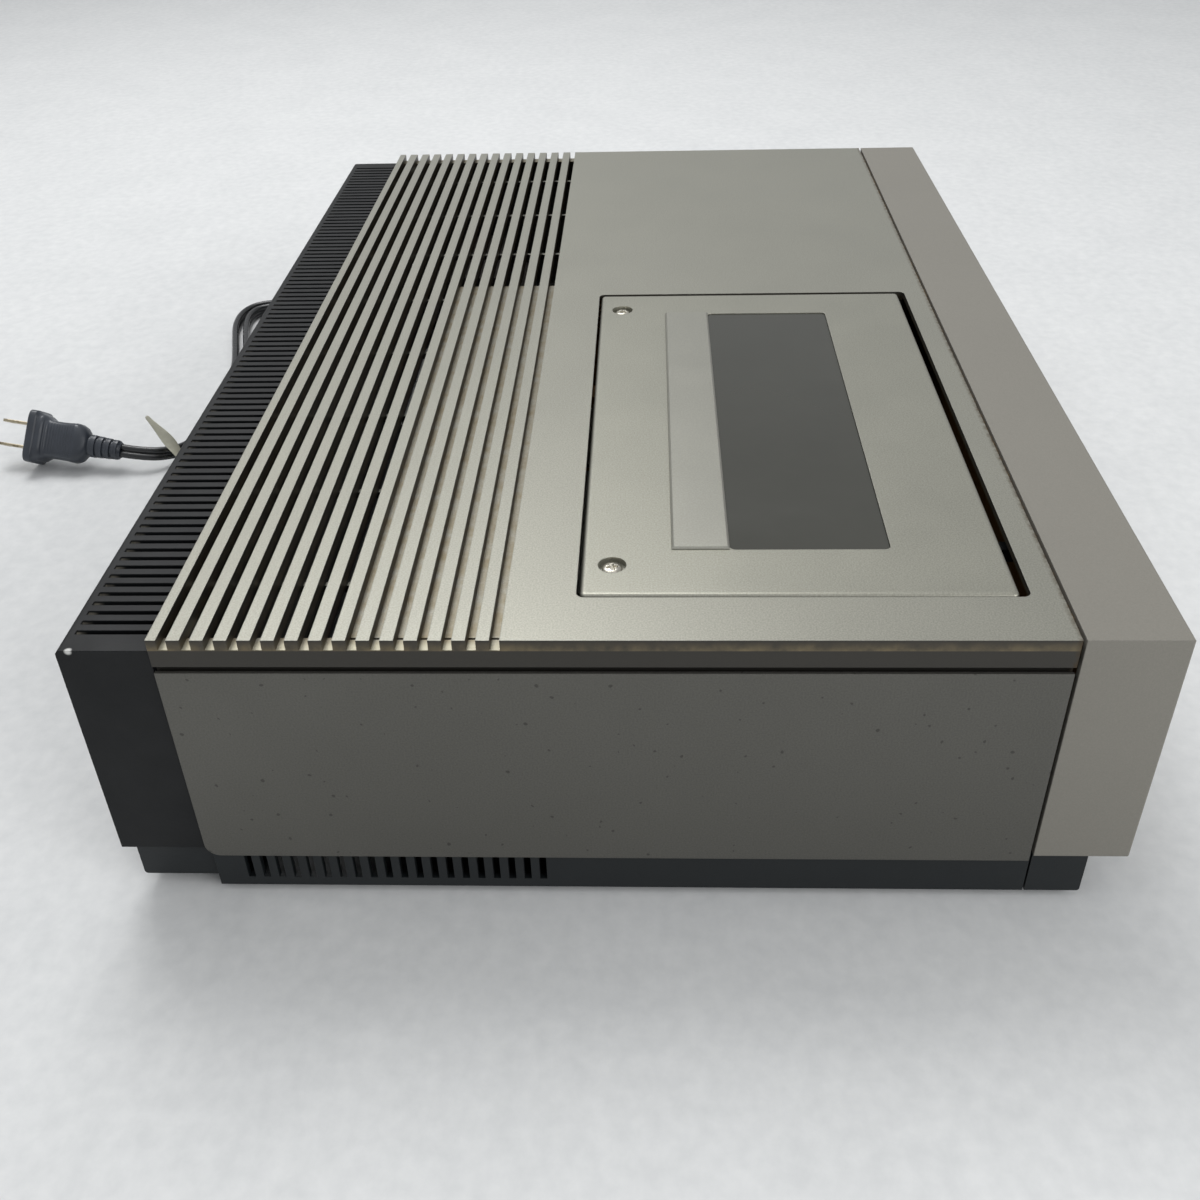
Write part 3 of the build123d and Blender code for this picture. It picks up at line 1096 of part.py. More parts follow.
def cassette_rest_places():
    """Places of the posts that the lowered holder rests on."""
    rows = (HOLDER_Y0 + 16, HOLDER_Y1 - 22)
    return [(CASSETTE_X + side * (HOLDER_X - 7), y) for side in (-1, 1) for y in rows]


def tape_guide_places():
    """Places of the fixed tape guides, either side of the drum."""
    return [(CASSETTE_X - 52.0, FLAP_Y + 66.0), (CASSETTE_X + 52.0, FLAP_Y + 66.0)]


def deck_posts():
    """The deck's shafts, pivots, rests and tape guides, and the pin that the latch turns on."""
    z0 = DECK_TOP - DECK_SHEET
    solids = []
    for x, y in reel_places():
        solids.append(post(x, y, z0, REEL_TABLE_BASE + 14, REEL_POST_RADIUS))
    for x, y in (PINCH_PIVOT, TENSION_PIVOT):
        solids.append(post(x, y, z0, PIVOT_POST_TOP, PIVOT_POST_RADIUS))
    for side in (-1, 1):
        x, y = load_pivot(side)
        solids.append(post(x, y, LOAD_ARM_TOP - LOAD_ARM_THICK - 1, DECK_TOP, 2.0))
    for x, y in cassette_rest_places():
        solids.append(post(x, y, DECK_TOP, CASSETTE_BASE - HOLDER_SHEET - FIT_GAP, 3.0))
    for x, y in tape_guide_places():
        guide = post(x, y, DECK_TOP, TAPE_BOTTOM - 1, 3.5) + post(x, y, TAPE_BOTTOM - 1, TAPE_TOP + 1, 2.5)
        guide += post(x, y, TAPE_TOP + 1, TAPE_TOP + 4, 3.5)
        solids.append(guide)
    # the latch's pin lies across two lugs at the deck's front edge
    solids.append(rod_x(EJECT_X - 8.5, EJECT_X + 8.5, LATCH_Y, LATCH_Z, LATCH_PIN_RADIUS))
    return group(solids)


def reel_table(place):
    """A reel table: geared rim, hub and a three-finned spindle, bored for its post."""
    x, y = place
    table = post(x, y, REEL_TABLE_BASE, REEL_TABLE_BASE + 4, REEL_TABLE_RADIUS)
    notches = []
    for number in range(36):
        at = on_circle(place, REEL_TABLE_RADIUS + 0.2, number * 10)
        notches.append(post(*at, REEL_TABLE_BASE - 1, REEL_TABLE_BASE + 2.5, 0.9))
    table -= notches
    table += post(x, y, REEL_TABLE_BASE + 4, CASSETTE_BASE - 1.5, REEL_HUB_RADIUS)
    spindle = post(x, y, CASSETTE_BASE - 1.5, SPINDLE_TOP, SPINDLE_RADIUS)
    table += chamfer(spindle.faces().sort_by(Axis.Z)[-1].edges(), 2.0)
    for angle in (30, 150, 270):
        fin = block(0, SPINDLE_RADIUS + 2.5, -1, 1, CASSETTE_BASE - 1.5, SPINDLE_TOP - 3)
        table += Pos(x, y, 0) * Rot(0, 0, angle) * fin
    # a groove round the hub
    groove = post(x, y, REEL_TABLE_BASE + 5.5, REEL_TABLE_BASE + 7, REEL_HUB_RADIUS + 1)
    groove -= post(x, y, REEL_TABLE_BASE + 5, REEL_TABLE_BASE + 8, REEL_HUB_RADIUS - 1)
    table -= groove
    bore = post(x, y, REEL_TABLE_BASE - 1, REEL_TABLE_BASE + 14 + FIT_GAP, REEL_POST_RADIUS + SHAFT_CLEARANCE)
    return table - bore


def drum_frame():
    """The drum's tilted axis, standing on the deck."""
    return Pos(DRUM_X, DRUM_Y, DECK_TOP + DRUM_BASE) * Rot(DRUM_TILT, 0, 0)


def lower_drum():
    """The fixed lower drum on its foot, with the ledge that guides the tape and the shaft."""
    profile = [
        (0, 0),
        (DRUM_RADIUS - 4, 0),
        (DRUM_RADIUS, 3),
        (DRUM_RADIUS, 6),
        (DRUM_RADIUS - 0.6, 6.4),
        (DRUM_RADIUS - 0.6, LOWER_DRUM_HEIGHT),
        (DRUM_SHAFT_RADIUS, LOWER_DRUM_HEIGHT),
        (DRUM_SHAFT_RADIUS, LOWER_DRUM_HEIGHT + UPPER_DRUM_HEIGHT + 0.5),
        (0, LOWER_DRUM_HEIGHT + UPPER_DRUM_HEIGHT + 0.5),
    ]
    face = make_face(Polyline(*[(r, 0, z) for r, z in profile], close=True))
    drum = drum_frame() * revolve(face, Axis.Z)
    foot = plate(DRUM_X - 22, DRUM_X + 22, DRUM_Y - 16, DRUM_Y + 16, DECK_TOP, DECK_TOP + DRUM_BASE + 3, 5.0)
    return drum + foot


def upper_drum():
    """The turning upper drum with its head windows, rim groove and cap."""
    z0 = LOWER_DRUM_HEIGHT + DRUM_SPLIT
    z1 = z0 + UPPER_DRUM_HEIGHT
    outer = DRUM_RADIUS - 0.6
    profile = [
        (DRUM_SHAFT_RADIUS + SHAFT_CLEARANCE, z0),
        (outer, z0),
        (outer, z1 - 1.5),
        (outer - 1.5, z1),
        (outer - 7, z1),
        (outer - 9, z1 - 2.5),
        (12, z1 - 2.5),
        (10.5, z1 - 0.5),
        (DRUM_SHAFT_RADIUS + SHAFT_CLEARANCE, z1 - 0.5),
    ]
    face = make_face(Polyline(*[(r, 0, z) for r, z in profile], close=True))
    drum = revolve(face, Axis.Z)
    for side in (-1, 1):
        drum -= block(-3, 3, *sorted((side * (outer - 5), side * (outer + 1))), z0 - 1, z0 + 3)
        drum -= post(side * 18, 0, z1 - 6, z1 + 1, 2.2)
    return drum_frame() * drum


def capstan_shaft():
    """The capstan's ground steel shaft."""
    shaft = post(CAPSTAN_X, CAPSTAN_Y, FLYWHEEL_BOTTOM - 5, CAPSTAN_TIP, CAPSTAN_RADIUS)
    return chamfer(shaft.faces().sort_by(Axis.Z)[-1].edges(), 0.5)


def flywheel():
    """The heavy flywheel pressed on the capstan's lower end, with a belt groove."""
    z0, z1 = FLYWHEEL_BOTTOM, FLYWHEEL_BOTTOM + FLYWHEEL_THICK
    profile = [
        (CAPSTAN_RADIUS, z0),
        (7, z0),
        (9, z0 + 3),
        (FLYWHEEL_RADIUS - 6, z0 + 3),
        (FLYWHEEL_RADIUS - 4, z0),
        (FLYWHEEL_RADIUS, z0),
        (FLYWHEEL_RADIUS, z0 + 3.5),
        (FLYWHEEL_RADIUS - 1.5, z0 + 5),
        (FLYWHEEL_RADIUS, z0 + 6.5),
        (FLYWHEEL_RADIUS, z1),
        (CAPSTAN_RADIUS, z1),
    ]
    face = make_face(Polyline(*[(r, 0, z) for r, z in profile], close=True))
    return Pos(CAPSTAN_X, CAPSTAN_Y, 0) * revolve(face, Axis.Z)


def capstan_motor():
    """The capstan's flat motor under the flywheel, hung from the deck on three legs, with its bearing."""
    z1 = FLYWHEEL_BOTTOM - 2.0
    z0 = z1 - MOTOR_HEIGHT
    reach = FLYWHEEL_RADIUS + 6
    motor = post(CAPSTAN_X, CAPSTAN_Y, z0, z1, MOTOR_RADIUS)
    motor = fillet(motor.faces().sort_by(Axis.Z)[0].edges(), 2.0)
    motor -= post(CAPSTAN_X, CAPSTAN_Y, FLYWHEEL_BOTTOM - 5 - FIT_GAP, z1 + 1,
                  CAPSTAN_RADIUS + SHAFT_CLEARANCE)
    for angle in MOTOR_LEG_ANGLES:
        spoke = block(MOTOR_RADIUS - 2, reach, -4, 4, z1 - 3, z1)
        motor += Pos(CAPSTAN_X, CAPSTAN_Y, 0) * Rot(0, 0, angle) * spoke
        leg = on_circle((CAPSTAN_X, CAPSTAN_Y), reach, angle)
        motor += post(*leg, z1 - 3, DECK_TOP - DECK_SHEET, MOTOR_LEG_RADIUS)
    return motor


def lever(pivot, length, angle, z0, z1, hub, tip):
    """A flat lever: two round ends joined by a tapered bar."""
    end = on_circle(pivot, length, angle)
    arm = post(*pivot, z0, z1, hub) + post(*end, z0, z1, tip)
    bar = make_face(Polyline((0, -hub, 0), (length, -tip, 0), (length, tip, 0), (0, hub, 0), close=True))
    return arm + Pos(pivot[0], pivot[1], z0) * Rot(0, 0, angle) * extrude(bar, amount=z1 - z0)


def pinch_arm():
    """The pinch roller's arm with the roller's axle standing on it."""
    z0 = DECK_TOP + 2
    arm = lever(PINCH_PIVOT, PINCH_ARM_LENGTH, PINCH_REST_ANGLE, z0, z0 + 3, 5.0, 4.0)
    arm += post(*PINCH_PIVOT, z0 + 3, PIVOT_POST_TOP - 1, 4.0)
    arm -= post(*PINCH_PIVOT, z0 - 1, PIVOT_POST_TOP + 1, PIVOT_POST_RADIUS + SHAFT_CLEARANCE)
    axle = on_circle(PINCH_PIVOT, PINCH_ARM_LENGTH, PINCH_REST_ANGLE)
    arm += post(*axle, z0 + 3, PINCH_BOTTOM - FIT_GAP, 3.0)
    arm += post(*axle, PINCH_BOTTOM - FIT_GAP, PINCH_BOTTOM + PINCH_HEIGHT + 1.5, 1.5)
    return arm


def pinch_roller():
    """The rubber pinch roller, bored for its axle."""
    place = on_circle(PINCH_PIVOT, PINCH_ARM_LENGTH, PINCH_REST_ANGLE)
    roller = post(*place, PINCH_BOTTOM, PINCH_BOTTOM + PINCH_HEIGHT, PINCH_RADIUS)
    roller = chamfer(roller.edges().filter_by(GeomType.CIRCLE), 0.5)
    return roller - post(*place, PINCH_BOTTOM - 1, PINCH_BOTTOM + PINCH_HEIGHT + 1, 1.5 + SHAFT_CLEARANCE)


def loading_arm(side):
    """A loading arm under the deck, with the guide post and its roller that lead the tape."""
    pivot = load_pivot(side)
    angle = LOAD_REST_ANGLE if side > 0 else 180 - LOAD_REST_ANGLE
    arm = lever(pivot, LOAD_ARM_LENGTH, angle, LOAD_ARM_TOP - LOAD_ARM_THICK, LOAD_ARM_TOP, 5.0, 3.5)
    arm -= post(*pivot, LOAD_ARM_TOP - LOAD_ARM_THICK - 1, LOAD_ARM_TOP + 1, 2.0 + SHAFT_CLEARANCE)
    x, y = on_circle(pivot, LOAD_ARM_LENGTH, angle)
    arm += post(x, y, LOAD_ARM_TOP, TAPE_BOTTOM - 2, GUIDE_RADIUS - 1.5)
    arm += post(x, y, DECK_TOP + 1, TAPE_BOTTOM, GUIDE_RADIUS)
    arm += post(x, y, TAPE_BOTTOM, TAPE_TOP, GUIDE_RADIUS - 1)
    arm += post(x, y, TAPE_TOP, GUIDE_POST_TOP, GUIDE_RADIUS)
    return arm


def tension_arm():
    """The back-tension arm with its tape post."""
    z0 = DECK_TOP + 2
    arm = lever(TENSION_PIVOT, TENSION_ARM_LENGTH, TENSION_REST_ANGLE, z0, z0 + 2, 4.5, 2.5)
    arm += post(*TENSION_PIVOT, z0 + 2, PIVOT_POST_TOP - 1, 3.5)
    arm -= post(*TENSION_PIVOT, z0 - 1, PIVOT_POST_TOP + 1, PIVOT_POST_RADIUS + SHAFT_CLEARANCE)
    tip = on_circle(TENSION_PIVOT, TENSION_ARM_LENGTH, TENSION_REST_ANGLE)
    return arm + post(*tip, z0 + 2, TAPE_TOP + 1, 1.5)


def tape_heads():
    """The full erase head and the sound and control head, each on its foot."""
    solids = []
    for side in (-1, 1):
        x = CASSETTE_X + side * HEAD_OFFSET_X
        y = FLAP_Y + HEAD_OFFSET_Y
        head = block(x - 5.5, x + 5.5, y - 5, y + 5, TAPE_BOTTOM - 4, TAPE_TOP + 3)
        head = fillet(head.faces().sort_by(Axis.Y)[-1].edges().filter_by(Axis.Z), 2.5)
        head += block(x - 7, x + 7, y - 6.5, y + 6.5, TAPE_BOTTOM - 6, TAPE_BOTTOM - 4)
        head += post(x, y, DECK_TOP, TAPE_BOTTOM - 6, 4.0)
        solids.append(head)
    return group(solids)


# ================================================================ electronics
def main_board():
    """The main circuit board with its larger components."""
    board = block(MAIN_BOARD_X0, MAIN_BOARD_X1, MAIN_BOARD_Y0, MAIN_BOARD_Y1,
                  MAIN_BOARD_Z, MAIN_BOARD_Z + BOARD_THICK)
    top = MAIN_BOARD_Z + BOARD_THICK
    solids = [board]
    for number in range(4):
        x = MAIN_BOARD_X0 + 24 + number * 46
        solids.append(block(x, x + 28, -70, -56, top, top + 5))
        solids.append(post(x + 10, -20, top, top + 18, 6.0))
        solids.append(block(x - 4, x + 10, 8, 22, top, top + 12))
    # a finned heat sink along the rear edge
    sink = block(120, 196, 26, 29, top, top + 34)
    for number in range(10):
        x = 121 + number * 8
        sink += block(x, x + 2, 14, 26, top, top + 34)
    solids.append(sink)
    return group(solids)


def power_transformer():
    """The mains transformer: laminated core with two windings and a clamping frame."""
    z0 = MAIN_BOARD_Z - 4
    x0, x1 = TRANSFORMER_X - CORE_WIDTH / 2, TRANSFORMER_X + CORE_WIDTH / 2
    y0, y1 = TRANSFORMER_Y - CORE_DEPTH / 2, TRANSFORMER_Y + CORE_DEPTH / 2
    core = block(x0, x1, y0, y1, z0, z0 + CORE_HEIGHT)
    winding = block(x0 + 12, x1 - 12, y0 - 11, y1 + 11, z0 + 10, z0 + CORE_HEIGHT - 10)
    winding = fillet(winding.edges().filter_by(Axis.Z), 8.0)
    frame = block(x0 - 1.5, x1 + 1.5, y0 + 4, y1 - 4, z0, z0 + CORE_HEIGHT + 1.5)
    lugs = block(x0 - 8, x1 + 8, y0 + 4, y1 - 4, z0, z0 + 1.5)
    return core + winding + frame + lugs


def tuner_box():
    """The screened tuner: a folded can with a lid and trimming holes."""
    z0 = MAIN_BOARD_Z
    can = block(TUNER_X0, TUNER_X1, TUNER_Y0, TUNER_Y1, z0, z0 + TUNER_HEIGHT)
    holes = [post(TUNER_X0 + 14 + 15 * n, TUNER_Y0 + 20, z0 + TUNER_HEIGHT - 4, z0 + TUNER_HEIGHT + 1, 2.0)
             for n in range(5)]
    can -= holes
    can -= block(TUNER_X0 + 4, TUNER_X1 - 4, TUNER_Y1 - 18, TUNER_Y1 - 17,
                 z0 + TUNER_HEIGHT - 1, z0 + TUNER_HEIGHT + 1)
    return can


def jack_panel():
    """The connection panel at the back: plate, aerial sockets, phono sockets and screw terminals."""
    y0 = REAR - JACK_RECESS - JACK_SHEET
    y1 = REAR - JACK_RECESS
    x0, x1 = JACK_X - JACK_WIDTH / 2, JACK_X + JACK_WIDTH / 2
    z0, z1 = JACK_Z - JACK_HEIGHT / 2, JACK_Z + JACK_HEIGHT / 2
    solid = block(x0, x1, y0, y1, z0, z1)
    for number in range(2):
        x = x0 + 16 + number * 20
        solid += rod_y(x, y1, y1 + 2, JACK_Z + 8, 6.5)
        solid += rod_y(x, y1 + 2, y1 + JACK_LENGTH, JACK_Z + 8, 4.7)
        solid -= rod_y(x, y1 + 1, y1 + JACK_LENGTH + 1, JACK_Z + 8, 1.0)
    for number in range(4):
        x = x0 + 58 + number * 16
        solid += rod_y(x, y1, y1 + 1.5, JACK_Z + 8, 6.0)
        solid += rod_y(x, y1 + 1.5, y1 + JACK_LENGTH, JACK_Z + 8, 4.2)
        solid -= rod_y(x, y1 + 1, y1 + JACK_LENGTH + 1, JACK_Z + 8, 1.7)
    for number in range(4):
        x = x0 + 12 + number * 14
        solid += rod_y(x, y1, y1 + 4, JACK_Z - 12, 3.6)
        solid -= block(x - 3, x + 3, y1 + 3, y1 + 5, JACK_Z - 12.5, JACK_Z - 11.5)
    return solid


# ================================================================ mains cord
# Routes in millimetres. The lead leaves the back, drops behind the casing and joins the hank's first
# run; the tail leaves the hank's last run and rises to the plug.
LEAD_ROUTE = [
    (CORD_EXIT_X, REAR + RELIEF_LENGTH, CORD_EXIT_Z),
    (CORD_EXIT_X, REAR + 37.5, CORD_EXIT_Z - 0.8),
    (CORD_EXIT_X + 6, REAR + 50, CORD_EXIT_Z - 6),
    (CORD_EXIT_X + 20, REAR + 55, CORD_EXIT_Z - 14),
    (CORD_EXIT_X + 39, REAR + 55.5, CORD_EXIT_Z - 24),
    (CORD_EXIT_X + 59, REAR + 55.8, CORD_EXIT_Z - 32),
    (HANK_START_X - 17, REAR + 57.7, CORD_BASE),
    (HANK_START_X, REAR + 58.8, CORD_BASE),
]
TAIL_ROUTE = [
    (HANK_END_X, WAIST[1] + 2 * HANK_PITCH, CORD_BASE),
    (HANK_END_X - 9, WAIST[1] + 2 * HANK_PITCH, CORD_BASE),
    (HANK_END_X - 23, WAIST[1] + 17.95, CORD_BASE + 2.5),
    (HANK_END_X - 31, WAIST[1] + 29.75, CORD_BASE + 5.8),
    (HANK_END_X - 29.1, WAIST[1] + 43.35, CORD_BASE + 7.2),
]


def run_and_radii(route):
    """The arc radius at each corner of a route: 0.45 of the shorter run over the tangent of half the turn."""
    radii = []
    for before, corner, after in zip(route[:-2], route[1:-1], route[2:]):
        first = Vector(*corner) - Vector(*before)
        second = Vector(*after) - Vector(*corner)
        turn = first.get_angle(second)
        radii.append(0.45 * min(first.length, second.length) / tan(radians(turn / 2)))
    return radii


def free_cord(name, route):
    """A plain tube along a route of runs joined by tangent arcs."""
    radii = run_and_radii(route)
    print(f"{name} radii", [round(r, 1) for r in radii])
    path = FilletPolyline(*route, radius=radii)
    solid = tube(path, CORD_RADIUS)
    ratio = solid.volume / (path.length * pi * CORD_RADIUS ** 2)
    print(f"{name} length {path.length:.1f}, volume ratio {ratio:.4f}")
    return solid


def hank_knots():
    """Points and directions along the tied hank: out, back, out again and part of the way back."""
    lead = Vector(*LEAD_ROUTE[-1]) - Vector(*LEAD_ROUTE[-2])
    start = lead.normalized()
    first = Vector(*LEAD_ROUTE[-1])
    knots = [(first, start), (first + start * 2 * CORD_RADIUS, start)]
    ahead, back = Vector(1, 0, 0), Vector(-1, 0, 0)

    def flat(x, y):
        return Vector(x, y, CORD_BASE)

    def far_turn(radius):
        x, y = FAR_TURN
        tip = flat(x + radius, y)
        return [(flat(x, y - radius), ahead), (tip, Vector(0, 1, 0)), (flat(x, y + radius), back)]

    def far_side(shift):
        slope = radians(15.7)
        x, y = FAR_TURN[0] - 53.4 - shift * sin(slope), FAR_TURN[1] + 1.85 + shift * cos(slope)
        return [(flat(x, y), Vector(-cos(slope), -sin(slope), 0)),
                (flat(FAR_TURN[0] - 125, WAIST[1] + HANK_PITCH + shift), back)]

    def near_side(side, along):
        x, y, half, slope = WAIST[0] - 101.5, WAIST[1] - 8.4, 9.5, radians(9.5)
        heading = Vector(cos(slope), sin(slope), 0) * along
        return flat(x - side * half * sin(slope), y + side * half * cos(slope)), heading

    slant = radians(NEAR_TURN_ANGLE)
    axis = Vector(-cos(slant), -sin(slant), 0)
    across = Vector(-sin(slant), cos(slant), 0)
    middle = flat(*NEAR_TURN)
    knots.append((flat(*WAIST), ahead))
    knots += far_turn(FAR_TURN_INNER)
    knots += far_side(0)
    knots.append((flat(WAIST[0], WAIST[1] + HANK_PITCH), back))
    knots.append(near_side(1, -1))
    knots.append((middle + across * NEAR_TURN_RADIUS, axis))
    knots.append((middle + axis * NEAR_TURN_RADIUS, across * -1))
    knots.append((middle - across * NEAR_TURN_RADIUS, axis * -1))
    knots.append(near_side(-1, 1))
    knots.append((flat(WAIST[0], WAIST[1] - HANK_PITCH), ahead))
    knots += far_turn(FAR_TURN_INNER + HANK_PITCH)
    knots += far_side(HANK_PITCH)
    knots.append((flat(HANK_END_X, WAIST[1] + 2 * HANK_PITCH), back))
    return knots


def least_gap(path, step, apart):
    """The least gap between two stretches of a tube that are further apart than a given length."""
    count = int(path.length / step)
    points = [path @ (number / count) for number in range(count + 1)]
    skip = int(apart / step)
    least = path.length
    for number, point in enumerate(points):
        for other in points[number + skip:]:
            if abs(other.X - point.X) < least and abs(other.Y - point.Y) < least:
                least = min(least, (other - point).length)
    return least - 2 * CORD_RADIUS


def cord_hank():
    """The hank's loops as one unbroken tube, flat on the floor and drawn in at the waist."""
    knots = hank_knots()
    path = biarc_path([tuple(point) for point, _ in knots], [tuple(way) for _, way in knots])
    print(f"cord_hank length {path.length:.1f}, least gap {least_gap(path, 2.0, 30.0):.2f}")
    return tube(path, CORD_RADIUS)


def cord_tie():
    """The pale tie: a band round three runs at the waist, with a pointed tongue that stands out."""
    x, y = WAIST
    x0, x1 = x - TIE_WIDTH / 2, x + TIE_WIDTH / 2
    inner = CORD_RADIUS + TIE_SLACK
    outer = inner + TIE_THICK
    band = block(x0, x1, y - HANK_PITCH, y + HANK_PITCH, CORD_BASE - outer, CORD_BASE + outer)
    hole = block(x0 - 1, x1 + 1, y - HANK_PITCH, y + HANK_PITCH, CORD_BASE - inner, CORD_BASE + inner)
    for side in (-1, 1):
        band += rod_x(x0, x1, y + side * HANK_PITCH, CORD_BASE, outer)
        hole += rod_x(x0 - 1, x1 + 1, y + side * HANK_PITCH, CORD_BASE, inner)
    root = y + HANK_PITCH + inner + TIE_THICK / 2
    sections = [
        ((x, root, CORD_BASE - 0.2), (0, 0, 1), (1, 0, 0), TIE_WIDTH),
        ((x + 0.8, root + 2.2, CORD_BASE + 8), (0.2, 0.5, 0.84), (0.8, -0.6, 0.15), TIE_WIDTH),
        ((x + 4, root + 9.5, CORD_BASE + 17), (0.27, 0.55, 0.79), (0.35, -0.8, 0.43), TIE_WIDTH - 1),
        ((x + 7.5, root + 17.5, CORD_BASE + 26), (0.27, 0.55, 0.79), (0.35, -0.8, 0.43), 2.4),
    ]
    faces = [Plane(at, x_dir=across, z_dir=along) * Rectangle(width, TIE_THICK)
             for at, along, across, width in sections]
    return (band - hole) + loft(faces)


def plug_frame():
    """A frame at the cord's end, with Z along the plug and X across its blades."""
    return Plane(TAIL_ROUTE[-1], x_dir=PLUG_ROW, z_dir=PLUG_AXIS)


def plug_body():
    """The moulded plug: ringed strain relief, waisted grip and flared front plate."""
    widths = [
        (PLUG_RELIEF - 2, 11.0, 10.0, 4.0),
        (PLUG_RELIEF + 4, 20.0, 13.0, 5.0),
        (PLUG_RELIEF + 16, 21.5, 14.0, 5.0),
        (PLUG_RELIEF + PLUG_BODY - 4, PLUG_WIDTH - 1, PLUG_THICK - 1, 4.0),
    ]
    body = loft([Pos(0, 0, z) * RectangleRounded(w, t, r) for z, w, t, r in widths])
    face = RectangleRounded(PLUG_WIDTH, PLUG_THICK, 4.0)
    front = Pos(0, 0, PLUG_RELIEF + PLUG_BODY - 4) * extrude(face, amount=4)
    body += chamfer(front.faces().sort_by(Axis.Z)[-1].edges(), 0.8)
    rings = [(0, 0), (4.6, 0)]
    for number in range(4):
        z = 1.5 + number * 4.2
        rings += [(5.2 + 0.2 * number, z), (5.2 + 0.2 * number, z + 2.2), (4.0, z + 2.6), (4.0, z + 3.8)]
    rings += [(5.5, PLUG_RELIEF - 2), (0, PLUG_RELIEF - 2)]
    body += revolve(make_face(Polyline(*[(r, 0, z) for r, z in rings], close=True)), Axis.Z)
    return plug_frame().location * body


def plug_blades():
    """Two flat blades with a hole near each tip."""
    solids = []
    z0 = PLUG_RELIEF + PLUG_BODY
    for side in (-1, 1):
        x = side * BLADE_SPACING / 2
        blade = block(x - BLADE_THICK / 2, x + BLADE_THICK / 2, -BLADE_WIDTH / 2, BLADE_WIDTH / 2,
                      z0, z0 + BLADE_LENGTH)
        blade = chamfer(blade.faces().sort_by(Axis.Z)[-1].edges(), 0.5)
        blade -= rod_x(x - 1, x + 1, 0, z0 + BLADE_LENGTH - 4.5, 1.5)
        solids.append(plug_frame().location * blade)
    return group(solids)


def strain_relief():
    """The moulded bushing where the cord leaves the back: inner lip, neck, flange and ribbed taper."""
    profile = [(0, -WALL - 2), (RELIEF_RADIUS + 0.5, -WALL - 2), (RELIEF_RADIUS + 0.5, -WALL)]
    profile += [(RELIEF_RADIUS - 1, -WALL), (RELIEF_RADIUS - 1, 0), (RELIEF_FLANGE, 0), (RELIEF_FLANGE, 2)]
    for number in range(4):
        z = 4 + number * 5
        radius = RELIEF_RADIUS - 0.35 * number
        profile += [(radius - 0.9, z - 1.5), (radius - 0.9, z), (radius, z), (radius, z + 2.6)]
    profile += [(3.4, RELIEF_LENGTH - 1.4), (3.4, RELIEF_LENGTH), (0, RELIEF_LENGTH)]
    turned = revolve(make_face(Polyline(*[(r, 0, z) for r, z in profile], close=True)), Axis.Z)
    return Pos(CORD_EXIT_X, REAR, CORD_EXIT_Z) * Rot(-90, 0, 0) * turned


def save_all():
    """Build and write every sub-part."""
    save("top_cover", top_cover())
    save("left_side_panel", side_panel(-1))
    save("right_side_panel", side_panel(1))
    save("base_tray", base_tray())
    save("front_plinth", front_plinth())
    save("rear_cover", rear_cover())
    save("rear_base", rear_base())
    save("rubber_feet", rubber_feet())
    save("case_screws", case_screws())
    save("front_bezel", front_bezel())
    save("control_tray", control_tray())
    save("control_door", control_door())
    for name, x, z, width, height in key_places():
        save(name, push_button(name, x, z, width, height))
    save("display_window", display_window())
    save("tracking_knob", tracking_knob())
    save("speed_switch", speed_switch())
    save("display_board", display_board())
    save("cassette_lid", cassette_lid())
    save("lid_trim_strip", lid_trim_strip())
    save("lid_window", lid_window())
    save("lid_screws", lid_screws())
    save("cassette_holder", cassette_holder())
    save("hinge_brackets", hinge_brackets())
    save("lid_springs", lid_springs())
    save("lid_latch", lid_latch())
    save("deck_plate", deck_plate())
    save("deck_posts", deck_posts())
    save("supply_reel_table", reel_table(reel_places()[0]))
    save("take_up_reel_table", reel_table(reel_places()[1]))
    save("lower_drum", lower_drum())
    save("upper_drum", upper_drum())
    save("capstan_shaft", capstan_shaft())
    save("flywheel", flywheel())
    save("capstan_motor", capstan_motor())
    save("pinch_arm", pinch_arm())
    save("pinch_roller", pinch_roller())
    save("supply_loading_arm", loading_arm(-1))
    save("take_up_loading_arm", loading_arm(1))
    save("tension_arm", tension_arm())
    save("tape_heads", tape_heads())
    save("main_board", main_board())
    save("power_transformer", power_transformer())
    save("tuner_box", tuner_box())
    save("jack_panel", jack_panel())
    save("strain_relief", strain_relief())
    save("cord_lead", free_cord("cord_lead", LEAD_ROUTE))
    save("cord_hank", cord_hank())
    save("cord_tail", free_cord("cord_tail", TAIL_ROUTE))
    save("cord_tie", cord_tie())
    save("plug_body", plug_body())
    save("plug_blades", plug_blades())


os.makedirs("parts", exist_ok=True)
save_all()
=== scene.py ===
"""Looks for a top-loading video cassette recorder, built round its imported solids, in metres."""

import logging
import math
from dataclasses import dataclass, field
from enum import Enum
from typing import ClassVar

import bpy
import numpy as np
from mathutils import Matrix, Vector


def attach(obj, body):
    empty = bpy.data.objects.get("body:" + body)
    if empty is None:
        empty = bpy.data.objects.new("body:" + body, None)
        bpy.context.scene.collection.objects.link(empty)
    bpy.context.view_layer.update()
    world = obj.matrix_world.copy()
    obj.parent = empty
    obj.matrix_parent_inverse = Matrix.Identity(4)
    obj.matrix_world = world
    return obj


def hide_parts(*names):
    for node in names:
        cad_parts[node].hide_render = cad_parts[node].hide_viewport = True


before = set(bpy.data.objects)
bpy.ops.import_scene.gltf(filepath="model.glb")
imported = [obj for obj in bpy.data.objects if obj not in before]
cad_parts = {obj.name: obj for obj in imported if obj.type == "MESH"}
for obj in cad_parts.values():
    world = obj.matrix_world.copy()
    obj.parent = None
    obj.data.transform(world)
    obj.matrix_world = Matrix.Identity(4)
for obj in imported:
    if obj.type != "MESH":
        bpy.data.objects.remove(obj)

LOG = logging.getLogger("recorder")
MM = 0.001


